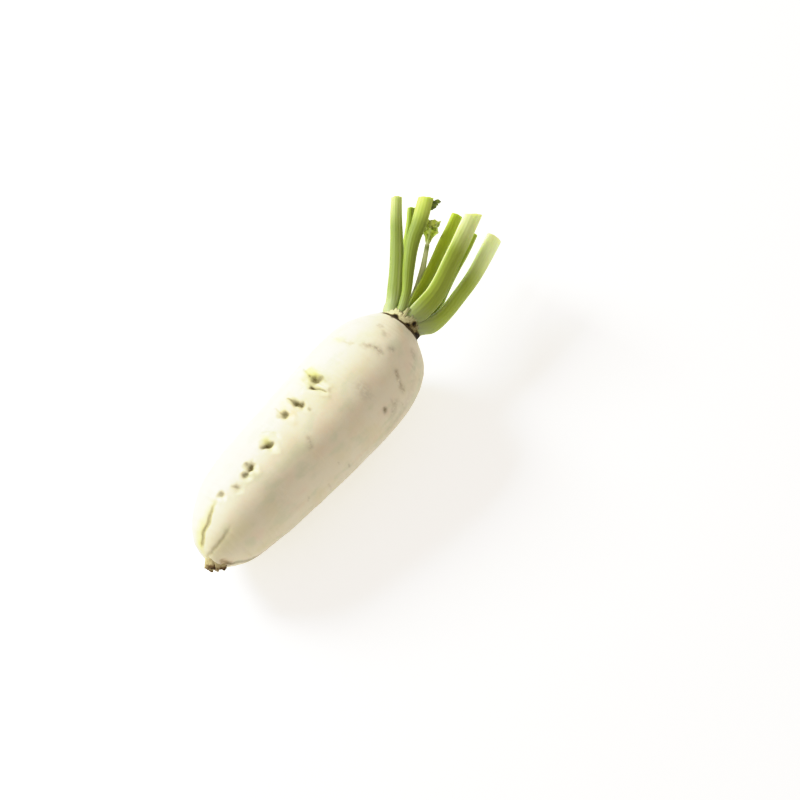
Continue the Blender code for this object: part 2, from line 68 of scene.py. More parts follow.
def smooth_value(table: Rows, x: np.ndarray | float) -> np.ndarray:
    """The smooth curve through a table of (x, value) rows, at x.

    Between two rows it is the cubic with the rows' values and the table's slopes at its ends.

    Args:
        table: The rows, with x growing.
        x: Where the curve is read.

    Returns:
        The curve's values, in the shape of x.
    """
    xs, ys = np.array(table, float).T
    slopes = np.gradient(ys, xs)
    i = np.clip(np.searchsorted(xs, x) - 1, 0, len(xs) - 2)
    step = xs[i + 1] - xs[i]
    t = (x - xs[i]) / step
    return (
        (2 * t**3 - 3 * t**2 + 1) * ys[i] + (t**3 - 2 * t**2 + t) * step * slopes[i]
        + (3 * t**2 - 2 * t**3) * ys[i + 1] + (t**3 - t**2) * step * slopes[i + 1]
    )


def smooth_line(points: Rows, count: int) -> np.ndarray:
    """Points at even distances along a Catmull-Rom curve through the given points.

    Args:
        points: The points that the curve passes through.
        count: How many points are returned.

    Returns:
        An array of count rows.
    """
    given = np.array(points, float)
    ends = np.vstack([2 * given[0] - given[1], given, 2 * given[-1] - given[-2]])
    before, here, there, after = (ends[k : len(given) - 1 + k, None] for k in range(4))
    t = np.linspace(0.0, 1.0, 16, endpoint=False)[None, :, None]
    fine = 0.5 * (
        2 * here + (there - before) * t + (2 * before - 5 * here + 4 * there - after) * t**2
        + (3 * here - before - 3 * there + after) * t**3
    )
    fine = np.vstack([fine.reshape(-1, given.shape[1]), given[-1:]])
    run = np.concatenate([[0.0], np.cumsum(np.linalg.norm(np.diff(fine, axis=0), axis=1))])
    even = np.linspace(0.0, run[-1], count)
    return np.stack([np.interp(even, run, column) for column in fine.T], axis=1)


def fade(x: np.ndarray, low: float, high: float) -> np.ndarray:
    """0 where x is below low, 1 where it is above high, and a soft step between."""
    t = np.clip((x - low) / (high - low), 0.0, 1.0)
    return t * t * (3 - 2 * t)


def bell(x: np.ndarray, width: float = 1.0) -> np.ndarray:
    """The bell curve exp(-(x / width) squared)."""
    return np.exp(-((x / width) ** 2))


def unit(vectors: np.ndarray) -> np.ndarray:
    """The vectors, each made one long."""
    return vectors / np.linalg.norm(vectors, axis=-1, keepdims=True)


def steps(count: int) -> np.ndarray:
    """Even steps from 0 to 1, as one column."""
    return np.linspace(0.0, 1.0, count)[:, None]


def turns(count: int, first: float = 0.5) -> np.ndarray:
    """Angles at even steps once round, as one row. The first one is that share of a step."""
    return (2 * math.pi * (np.arange(count) + first) / count)[None, :]


def short_way(angle: np.ndarray | float, degrees: np.ndarray | float) -> np.ndarray | float:
    """How far an angle in radians is from one in degrees, the short way round, in radians."""
    return (angle - np.radians(degrees) + math.pi) % (2 * math.pi) - math.pi


def degrees_off(angle: np.ndarray | float, degrees: float) -> np.ndarray | float:
    """How far an angle in radians is from one in degrees, the short way round, in degrees."""
    return np.degrees(short_way(angle, degrees))


def points_of(*coordinates: np.ndarray) -> np.ndarray:
    """Arrays of coordinates as one array of points, in its last axis."""
    return np.stack(np.broadcast_arrays(*coordinates), axis=-1)


def waves(
    place: Sequence[np.ndarray], counts: Sequence[int], number: int, draw: np.random.Generator
) -> np.ndarray:
    """Smooth unevenness between about -1 and 1: a sum of sine waves with random directions and phases.

    Args:
        place: One array for each direction. A direction that closes on itself runs from 0 to 1.
        counts: The most waves in each direction. They are whole numbers, so that a closed one joins up.
        number: How many waves are added up.
        draw: The source of the random numbers.

    Returns:
        The sum, in the shape of the places.
    """
    total = np.zeros(np.broadcast(*place).shape)
    for _ in range(number):
        phase = draw.uniform(0.0, 2 * math.pi)
        for along, most in zip(place, counts, strict=True):
            phase = phase + 2 * math.pi * draw.integers(-most, most + 1) * along
        total += np.sin(phase)
    return total / math.sqrt(number)


@dataclass(frozen=True)
class Lie:
    """How the root lies: rolled about its own line, pitched until its belly carries it, and set down.

    Attributes:
        pitch: How far the crown end is raised, in degrees.
        roll: How far the face with the scars is rolled aside, in degrees.
        rest_station: The station above the middle of the flat spot.
        rest_side: How far the root's line is beside the middle of the flat spot.
        axis_height: How high the root's line is at that station.
    """

    pitch: float = 4.3
    roll: float = -15.0
    rest_station: float = 122.15
    rest_side: float = 2.6
    axis_height: float = 38.83

    def turn(self) -> np.ndarray:
        """How the root is turned: first the roll about X, then the pitch about Y.

        Returns:
            The turning matrix.
        """
        p, r = math.radians(-self.pitch), math.radians(-self.roll)
        rolled = np.array([[1, 0, 0], [0, math.cos(r), -math.sin(r)], [0, math.sin(r), math.cos(r)]])
        pitched = np.array([[math.cos(p), 0, math.sin(p)], [0, 1, 0], [-math.sin(p), 0, math.cos(p)]])
        return pitched @ rolled

    def to_scene(self, points: np.ndarray) -> np.ndarray:
        """Points of the root's own frame in the scene.

        Args:
            points: Station, left and lift in millimetres, in the last axis.

        Returns:
            The same points in metres.
        """
        turned = (points - np.array([self.rest_station, 0, 0])) @ self.turn().T
        return (turned + np.array([0, -self.rest_side, self.axis_height])) * MM


LIE = Lie()


def closed(grid: np.ndarray) -> np.ndarray:
    """A grid's values in one row, followed by the mean of its first ring and that of its last."""
    return np.concatenate([grid.reshape(-1, *grid.shape[2:]), grid[:1].mean(1), grid[-1:].mean(1)])


@dataclass(frozen=True)
class Shell:
    """A closed shell on a grid of rings.

    Attributes:
        rings: Points in metres: rings, points on a ring, coordinates.
        marks: Values kept on the points, as arrays of rings by points, with a third axis for a vector.
    """

    rings: np.ndarray
    marks: Mapping[str, np.ndarray]

    def faces(self, start: int) -> list[list[int]]:
        """The faces, as numbers of points.

        Point (i, j) is joined to (i + 1, j) and (i, j + 1), the last column meets the first, and both end
        rings close on a point in their middle. Faces point outwards, because they are turned round where the
        volume comes out negative.

        Args:
            start: The number of the first point.

        Returns:
            Each face's points: four, or three where a ring closes.
        """
        rows, columns, _ = self.rings.shape
        points = closed(self.rings)
        here = np.arange(rows * columns).reshape(rows, columns)
        beside = np.roll(here, -1, axis=1)
        quads = np.stack([here[:-1], beside[:-1], beside[1:], here[1:]], axis=-1).reshape(-1, 4)
        first = np.stack([beside[0], here[0], np.full(columns, rows * columns)], axis=-1)
        last = np.stack([here[-1], beside[-1], np.full(columns, rows * columns + 1)], axis=-1)
        triangles = points[np.concatenate([quads[:, :3], quads[:, [0, 2, 3]], first, last])]
        order = -1 if np.linalg.det(triangles - points.mean(0)).sum() < 0 else 1
        return [face for part in (quads, first, last) for face in (part[:, ::order] + start).tolist()]


def shell_mesh(name: str, *shells: Shell) -> bpy.types.Mesh:
    """One mesh of closed shells, which have the same marks.

    Args:
        name: The mesh's name.
        shells: The shells.

    Returns:
        The mesh, shaded smooth.
    """
    points = [closed(shell.rings) for shell in shells]
    starts = np.cumsum([0] + [len(part) for part in points[:-1]])
    faces = [face for shell, start in zip(shells, starts, strict=True) for face in shell.faces(start)]
    mesh = bpy.data.meshes.new(name)
    mesh.from_pydata(np.concatenate(points).tolist(), [], faces)
    for mark in shells[0].marks:
        values = np.concatenate([closed(shell.marks[mark]) for shell in shells])
        kind, word = ("FLOAT_VECTOR", "vector") if values.ndim == 2 else ("FLOAT", "value")
        mesh.attributes.new(mark, kind, "POINT").data.foreach_set(word, values.astype(np.float32).ravel())
    mesh.shade_smooth()
    return mesh


def add_object(name: str, data: bpy.types.ID) -> bpy.types.Object:
    """Adds an object to the scene that shows a mesh, a camera or a light.

    Args:
        name: The object's name.
        data: What it shows.

    Returns:
        The object.
    """
    made = bpy.data.objects.new(name, data)
    bpy.context.scene.collection.objects.link(made)
    return made


def add_piece(mesh: bpy.types.Mesh, material: bpy.types.Material, slot: str, *nodes: str) -> None:
    """Puts a finished mesh in the scene as a piece of the turnip, and reports it.

    Args:
        mesh: The mesh, in its place.
        material: Its material.
        slot: The record's material slot; not used.
        nodes: The CAD nodes that it stands for.
    """
    piece = add_object(mesh.name, mesh)
    mesh.materials.append(material)
    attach(piece, BODY)
    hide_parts(*nodes)
    log.info("%s: %d faces, stands for %s", piece.name, len(mesh.polygons), ", ".join(nodes))


class Signal:
    """A number that varies over a surface: the socket of a shader node, with the arithmetic of numbers."""

    def __init__(self, graph: "ShaderGraph", socket: Socket) -> None:
        """Wraps a socket of a graph."""
        self.graph = graph
        self.socket = socket

    def __add__(self, other: "Signal | float") -> "Signal":
        """self + other"""
        return self.graph.maths("ADD", self, other)

    def __sub__(self, other: "Signal | float") -> "Signal":
        """self - other"""
        return self.graph.maths("SUBTRACT", self, other)

    def __rsub__(self, other: float) -> "Signal":
        """other - self"""
        return self.graph.maths("SUBTRACT", other, self)

    def __mul__(self, other: "Signal | float") -> "Signal":
        """self * other"""
        return self.graph.maths("MULTIPLY", self, other)

    __radd__ = __add__
    __rmul__ = __mul__

    def between(self, low: float, high: float) -> "Signal":
        """A soft step over self, which falls where high is below low.

        Args:
            low: The value at and beyond which the step is 0.
            high: The value at and beyond which it is 1.

        Returns:
            The step.
        """
        node = self.graph.node(
            "ShaderNodeMapRange", {"interpolation_type": "SMOOTHSTEP"},
            {0: self, 1: min(low, high), 2: max(low, high), 3: float(low > high), 4: float(low <= high)},
        )
        return Signal(self.graph, node.outputs[0])


class ShaderGraph:
    """A material's nodes, made from Python expressions."""

    def __init__(self, name: str) -> None:
        """Starts a material with no nodes.

        Args:
            name: The material's name.
        """
        self.material = bpy.data.materials.new(name)
        self.material.use_nodes = True
        self.tree = self.material.node_tree
        self.tree.nodes.clear()

    def node(
        self, kind: str, settings: Mapping[str, Any], sockets: Mapping[int | str, Any]
    ) -> bpy.types.Node:
        """Makes any node.

        Args:
            kind: The node's type.
            settings: Its settings, which are set first.
            sockets: The values or links of its inputs, by number or name.

        Returns:
            The node.
        """
        made = self.tree.nodes.new(kind)
        for name, value in settings.items():
            setattr(made, name, value)
        for key, value in sockets.items():
            if isinstance(value, Signal):
                self.tree.links.new(value.socket, made.inputs[key])
            elif isinstance(value, Socket):
                self.tree.links.new(value, made.inputs[key])
            else:
                made.inputs[key].default_value = value
        return made

    def maths(self, operation: str, *values: Signal | float) -> Signal:
        """The result of a Math node on values."""
        node = self.node("ShaderNodeMath", {"operation": operation}, dict(enumerate(values)))
        return Signal(self, node.outputs[0])

    def value(self, mark: str) -> Signal:
        """The number kept on the mesh's points under that name."""
        return Signal(self, self.node("ShaderNodeAttribute", {"attribute_name": mark}, {}).outputs["Fac"])

    def noise(self, place: Socket, detail: float = 3.0, roughness: float = 0.5) -> Signal:
        """Cloudy noise from 0 to 1 at a place. Its grain is one unit."""
        sockets = {"Vector": place, "Scale": 1.0, "Detail": detail, "Roughness": roughness}
        return Signal(self, self.node("ShaderNodeTexNoise", {}, sockets).outputs[0])

    def own_noise(self, scale: Triple, detail: float = 3.0, roughness: float = 0.5) -> Signal:
        """Cloudy noise over a piece, read at its own_place.

        Args:
            scale: How many grains lie in a millimetre, in each direction.
            detail: How many times finer noise is laid over it.
            roughness: How strong each finer noise is, as a share of the one before.

        Returns:
            The noise, from 0 to 1.
        """
        own = self.node("ShaderNodeAttribute", {"attribute_name": "own_place"}, {}).outputs["Vector"]
        scaled = self.node("ShaderNodeVectorMath", {"operation": "MULTIPLY"}, {0: own, 1: scale})
        return self.noise(scaled.outputs[0], detail, roughness)

    def layered(self, colour: Paint, *layers: tuple[Paint, Signal]) -> Socket:
        """A colour with others laid over it in turn.

        Args:
            colour: The lowest colour.
            layers: The colours over it, each with its share.

        Returns:
            The colour that comes out.
        """
        for over, share in layers:
            sockets = {0: share, 6: self.whole(colour), 7: self.whole(over)}
            node = self.node("ShaderNodeMix", {"data_type": "RGBA", "clamp_factor": True}, sockets)
            colour = node.outputs[2]
        return colour

    def shaded(self, colour: Socket, amount: Signal) -> Socket:
        """A colour made darker or lighter.

        Args:
            colour: The colour.
            amount: What it is multiplied by, near 1.

        Returns:
            The colour that comes out.
        """
        grey = self.node("ShaderNodeCombineXYZ", {}, {0: amount, 1: amount, 2: amount})
        node = self.node("ShaderNodeVectorMath", {"operation": "MULTIPLY"}, {0: colour, 1: grey.outputs[0]})
        return node.outputs[0]

    @staticmethod
    def whole(colour: Paint) -> Socket | tuple[float, ...]:
        """A colour as a socket takes it: a link as it is, and three numbers with full cover."""
        return colour if isinstance(colour, Socket) else (*colour, 1.0)

    def finish(
        self, colour: Socket, roughness: Signal, height: Signal, relief: float, fixed: Mapping[str, Any]
    ) -> bpy.types.Material:
        """Ends the graph in a Principled BSDF.

        Args:
            colour: The base colour.
            roughness: The roughness.
            height: The height of the fine relief, from 0 to 1.
            relief: How high 1 is, in millimetres.
            fixed: Values of other sockets that are the same all over.

        Returns:
            The material.
        """
        bump = self.node("ShaderNodeBump", {}, {"Strength": 1.0, "Distance": relief * MM, "Height": height})
        shader = self.node(
            "ShaderNodeBsdfPrincipled", {},
            {"Base Color": colour, "Roughness": roughness, "Normal": bump.outputs[0], **fixed},
        )
        self.node("ShaderNodeOutputMaterial", {}, {"Surface": shader.outputs[0]})
        return self.material


def flesh(weight: float, radius: Triple, scale: float, shine: float) -> dict[str, Any]:
    """The Principled BSDF's values for wet plant flesh.

    Args:
        weight: How much of the light sinks in.
        radius: How far it spreads in red, green and blue, as shares of the scale.
        scale: How far it spreads, in metres.
        shine: How strongly the surface mirrors.

    Returns:
        The values by the names of the sockets.
    """
    return {
        "Subsurface Weight": weight,
        "Subsurface Radius": radius,
        "Subsurface Scale": scale,
        "Specular IOR Level": shine,
    }


@dataclass(frozen=True)
class SkinFinish:
    """The root's thin waxy skin: cream, clouded, finely lined across, stained in its scars and at its ends,
    with painted shade in its creases, under its tail and along its tail's left edge.

    Attributes:
        cream: The skin's colour.
        ivory: Clouds in it.
        blush: Warmer clouds in it.
        glow: Yellow-green skin in and round scars, at the tail and at the crown's foot.
        pale: Lips of scars.
        dark: Bottoms of scars, dark stains, and painted shade along the underside near the tail and where the
            rootlets meet it.
        rust_and_shade: Rusty stains, and the brown of the painted shadow where the rootlets meet the tail.
        moss: Faintly green clouds in it.
        scuff_and_shade: Scuffs and cross marks, and painted shade along the tail's left edge.
        crease: Bottoms of creases: an olive tint, darkened as painted shade where they are deepest.
        neck: The neck under the crown.
        tip: The cut end of the tail.
    """

    cream: Colour = (0.64, 0.605, 0.47)
    ivory: Colour = (0.60, 0.56, 0.38)
    blush: Colour = (0.64, 0.55, 0.42)
    glow: Colour = (0.58, 0.57, 0.22)
    pale: Colour = (0.68, 0.65, 0.48)
    dark: Colour = (0.095, 0.075, 0.022)
    rust_and_shade: Colour = (0.60, 0.36, 0.17)
    moss: Colour = (0.51, 0.54, 0.38)
    scuff_and_shade: Colour = (0.30, 0.25, 0.17)
    crease: Colour = (0.31, 0.285, 0.13)
    neck: Colour = (0.055, 0.035, 0.010)
    tip: Colour = (0.20, 0.15, 0.06)

    def material(self) -> bpy.types.Material:
        """Builds the material, which reads the marks that the root's mesh carries.

        Returns:
            The material.
        """
        graph = ShaderGraph("turnip_skin")
        clouds = graph.own_noise((0.035, 0.05, 0.05), 4.0)
        cross = graph.own_noise((1.1, 0.07, 0.07))
        grain = graph.own_noise((0.05, 0.9, 0.9), 2.0)
        pores = graph.own_noise((0.9, 0.45, 0.45), 2.0, 0.6)
        warm = graph.own_noise((0.05, 0.09, 0.09), 2.0)
        damp = graph.own_noise((0.06, 0.10, 0.10))
        ragged = graph.own_noise((0.5, 0.35, 0.35), 4.0)
        dark, neck = graph.value("dark"), graph.value("neck")
        clean = graph.layered(
            self.cream,
            (self.ivory, clouds.between(0.42, 0.78)),
            (self.blush, warm.between(0.48, 0.72) * 0.6),
            (self.moss, damp.between(0.5, 0.7) * 0.5),
        )
        shade = 1.0 - 0.035 * cross.between(0.55, 0.8) * warm - 0.015 * grain.between(0.5, 0.8)
        colour = graph.layered(
            graph.shaded(clean, shade - 0.08 * pores.between(0.72, 0.8)),
            (self.glow, graph.value("glow")),
            (self.pale, graph.value("pale")),
            (self.rust_and_shade, graph.value("rust_and_shade")),
            (self.scuff_and_shade, graph.value("scuff_and_shade") * ragged.between(0.22, 0.62)),
            # Painted shade: the crease colour darkens the skin where the creases are deepest.
            (self.crease, graph.value("crease") * (0.45 + 0.8 * pores)),
            (self.dark, (dark * (0.75 + 0.5 * pores)).between(0.0, 0.95)),
            (self.neck, (neck + ragged * 0.5 - 0.25).between(0.3, 0.7)),
            (self.tip, (graph.value("tip") + ragged * 0.6 - 0.3).between(0.2, 0.8)),
        )
        rough = 0.46 + 0.14 * clouds + 0.3 * dark.between(0.1, 0.6) + 0.3 * neck
        height = 0.45 * cross + 0.12 * grain + 0.4 * pores
        return graph.finish(colour, rough, height, 0.14, flesh(0.12, (1.0, 0.62, 0.30), 0.0018, 0.22))


@dataclass(frozen=True)
class StalkFinish:
    """A juicy leaf stalk: whitish at its foot, green above, ribbed along, with a pale cut end.

    Attributes:
        name: The material's name.
        foot: Colour of the sheath at the crown.
        flank: Colour of the sides and the channel, darker than the back partly as painted shade on the sides.
        back: Colour of the round back.
        ridge: Colour of the raised edges between the back and the channel.
        tip: Colour just below the cut.
        pith: Colour in the middle of the cut.
        tip_blend: How far the last stretch before the cut turns to the tip's colour.
        stretch: How long that stretch is, as a share of the stalk's length.
    """

    name: str
    foot: Colour = (0.30, 0.355, 0.16)
    flank: Colour = (0.14, 0.20, 0.008)
    back: Colour = (0.22, 0.28, 0.03)
    ridge: Colour = (0.42, 0.48, 0.17)
    tip: Colour = (0.36, 0.45, 0.08)
    pith: Colour = (0.48, 0.56, 0.26)
    tip_blend: float = 0.6
    stretch: float = 0.27

    def material(self) -> bpy.types.Material:
        """Builds the material, which reads the marks that a stalk's mesh carries.

        Returns:
            The material.
        """
        graph = ShaderGraph(self.name)
        streaks = graph.own_noise((0.8, 0.8, 0.02), 3.0, 0.6)
        clouds = graph.own_noise((0.12, 0.12, 0.05))
        speckle = graph.own_noise((1.6, 1.6, 1.6), 2.0)
        height, cut = graph.value("height"), graph.value("cut")
        round_side = graph.value("rounded") + 0.8 * streaks - 0.4
        ridge = round_side.between(-0.42, -0.08) * round_side.between(0.42, 0.10)
        tip_band = (height + 0.1 * clouds).between(1.05 - self.stretch, 1.05)
        # The back is lighter than the sides and the channel: partly the stalk's own colour, partly painted
        # shade on its sides.
        colour = graph.layered(
            self.flank,
            (self.back, round_side.between(-0.5, 0.9)),
            (self.ridge, ridge * 0.55),
            (self.tip, tip_band * self.tip_blend),
            (self.foot, (height + 0.12 * streaks - 0.06).between(0.28, 0.02)),
        )
        colour = graph.shaded(colour, 0.80 + 0.26 * clouds + 0.22 * streaks)
        colour = graph.layered(colour, (self.pith, cut))
        colour = graph.shaded(colour, 1.0 - cut * 0.35 * speckle.between(0.5, 0.8))
        rough = 0.42 + 0.2 * clouds + 0.25 * cut
        relief = 0.7 * streaks + 0.3 * speckle
        return graph.finish(colour, rough, relief, 0.12, flesh(0.6, (0.8, 1.0, 0.2), 0.005, 0.24))


@dataclass(frozen=True)
class LeafFinish:
    """The youngest leaf and torn rags of leaf: bright or dark green, crinkled between pale veins.

    Attributes:
        name: The material's name.
        light: Colour of the blade's crests, lighter as painted light.
        deep: Colour of its hollows, darker as painted shade, and of the knot where the blade starts.
        vein: Colour of its rib.
        fringe: Colour of its edge.
        stem: Colour of the leaf's stalk.
    """

    name: str
    light: Colour = (0.54, 0.66, 0.07)
    deep: Colour = (0.17, 0.235, 0.014)
    vein: Colour = (0.50, 0.58, 0.18)
    fringe: Colour = (0.70, 0.78, 0.34)
    stem: Colour = (0.62, 0.66, 0.34)

    def material(self) -> bpy.types.Material:
        """Builds the material, which reads the marks that a leaf's mesh carries.

        Returns:
            The material.
        """
        graph = ShaderGraph(self.name)
        crinkle = graph.own_noise((0.34, 0.34, 0.26), 4.0, 0.6)
        # Painted light and shade: the crinkle that gives the blade its relief also makes its crests light and
        # its hollows deep.
        blade = graph.layered(
            self.deep,
            (self.light, crinkle.between(0.38, 0.56)),
            (self.fringe, (graph.value("edge") + 0.4 * crinkle).between(0.85, 1.25) * 0.8),
            (self.vein, graph.value("rib")),
        )
        knot = graph.value("knot") * 0.85
        colour = graph.layered(self.stem, (blade, graph.value("blade")), (self.deep, knot))
        return graph.finish(
            colour, 0.42 + 0.2 * crinkle, crinkle, 0.5, flesh(0.15, (0.6, 1.0, 0.2), 0.0015, 0.4)
        )


@dataclass(frozen=True)
class HuskFinish:
    """Dry plant matter: the papery bases of old leaves, and broken rootlets.

    Attributes:
        name: The material's name.
        pale: Colour where it is papery.
        brown: Colour where it is older.
        black: Colour where it is rotten.
        green: Colour where it is still fresh.
    """

    name: str
    pale: Colour = (0.54, 0.51, 0.29)
    brown: Colour = (0.15, 0.115, 0.04)
    black: Colour = (0.014, 0.009, 0.003)
    green: Colour = (0.36, 0.40, 0.15)

    def material(self) -> bpy.types.Material:
        """Builds the material. "age" runs from 0, pale, to 1, black, and "fresh" is how green it still is.

        Returns:
            The material.
        """
        graph = ShaderGraph(self.name)
        fibres = graph.own_noise((0.5, 2.2, 2.2), 4.0, 0.65)
        blotches = graph.own_noise((0.5, 0.5, 0.5))
        age = graph.value("age") + 0.5 * blotches + 0.35 * fibres - 0.42
        colour = graph.layered(
            self.pale,
            (self.green, graph.value("fresh")),
            (self.brown, age.between(0.1, 0.6)),
            (self.black, age.between(0.55, 1.0)),
        )
        return graph.finish(colour, 0.62 + 0.2 * fibres, fibres, 0.5, {"Specular IOR Level": 0.12})


@dataclass
class Patch:
    """Places on the turned root: stations, angles in radians, and the radius of the turned outline there."""

    station: np.ndarray
    angle: np.ndarray
    radius: np.ndarray

    def across(self, angle: float | np.ndarray) -> np.ndarray:
        """How far round the root each place is from an angle in degrees, the short way, in millimetres."""
        return self.radius * short_way(self.angle, angle)

    def drifted(self, along: np.ndarray, across: np.ndarray, narrowest: float = 8.0) -> "Patch":
        """The same places moved along and across the skin, so that marks read there waver.

        Args:
            along: How far they move along, in millimetres.
            across: How far they move across.
            narrowest: The radius that a place counts with where the root is thinner.

        Returns:
            The moved places.
        """
        turned = across / np.maximum(self.radius, narrowest)
        return Patch(self.station + along, self.angle + turned, self.radius)


@dataclass(frozen=True)
class Scar:
    """The scar of a side root: a pit across the root, with soft lips.

    Attributes:
        station: Where its middle is along the root.
        angle: Where its middle is round the root, in degrees.
        half_height: Half its size along the root.
        half_width: Half its size across.
        depth: How deep it is.
    """

    station: float
    angle: float
    half_height: float
    half_width: float
    depth: float

    def reach(self, patch: Patch) -> np.ndarray:
        """How far each place is from the middle, counted in half heights and half widths."""
        along = (patch.station - self.station) / self.half_height
        return np.hypot(along, patch.across(self.angle) / self.half_width)

    def pressed(self, patch: Patch) -> np.ndarray:
        """The depth: a bell over the reach, less a low ring around it at 1.7 reaches.

        Args:
            patch: The places.

        Returns:
            The depth there.
        """
        reach = self.reach(patch)
        lip = 0.11 * self.depth * np.exp(-((reach - 1.7) ** 2) / 0.18)
        return np.where(reach < 3.0, self.depth * np.exp(-1.1 * reach**2) - lip, 0.0)


class Tint(Enum):
    """What a smear on the skin looks like."""

    DARK = "dark"
    SCUFF_AND_SHADE = "scuff_and_shade"
    RUST_AND_SHADE = "rust_and_shade"
    GLOW = "glow"
    PALE = "pale"


@dataclass(frozen=True)
class Smear:
    """A spot or a streak on the skin, from one place to another.

    Attributes:
        tint: What it looks like.
        start: Station and angle in degrees of one end.
        end: The same for the other end. A spot ends where it starts.
        half: Half its width.
        strength: How strong the tint is in its middle, from 0 to 1.
        depth: How deep it is pressed in. Where that is negative, it stands out.
    """

    tint: Tint
    start: tuple[float, float]
    end: tuple[float, float]
    half: float
    strength: float
    depth: float = 0.0

    def cover(self, patch: Patch) -> np.ndarray:
        """How much of the smear is there.

        It is 1 on the line between the ends, and falls away as a bell over the distance from that line on the
        unrolled skin.

        Args:
            patch: The places.

        Returns:
            The cover there, from 0 to 1.
        """
        along = patch.station - self.start[0]
        across = patch.across(self.start[1])
        run = self.end[0] - self.start[0]
        side = math.radians(self.end[1] - self.start[1]) * patch.radius
        t = np.clip((along * run + across * side) / (run**2 + side**2 + 1e-6), 0.0, 1.0)
        return bell(np.hypot(along - t * run, across - t * side), self.half)


# The row of scars on the face, and the row opposite.
FRONT_SCARS = (
    Scar(139.7, 37.0, 3.4, 7.4, 2.7), Scar(134.6, 27.0, 1.7, 6.2, 1.6), Scar(118.5, 31.0, 2.3, 6.2, 2.2),
    Scar(107.2, 33.5, 2.6, 4.8, 2.0), Scar(92.0, 26.0, 1.4, 3.4, 0.7), Scar(83.7, 23.5, 2.8, 5.0, 2.2),
    Scar(64.4, 21.5, 2.6, 4.0, 2.0), Scar(57.6, 19.0, 2.3, 3.0, 1.3), Scar(47.8, 18.5, 2.2, 3.0, 0.8),
    Scar(38.3, 29.5, 2.0, 3.0, 0.9),
)
BACK_SCARS = (
    Scar(150.0, 236.0, 2.6, 6.2, 1.8), Scar(127.0, 231.0, 2.6, 6.4, 2.2), Scar(101.0, 234.0, 2.4, 5.2, 2.0),
    Scar(78.0, 229.0, 2.6, 4.8, 2.2), Scar(57.0, 226.0, 2.3, 3.8, 1.6), Scar(41.0, 229.0, 2.0, 3.2, 1.3),
)
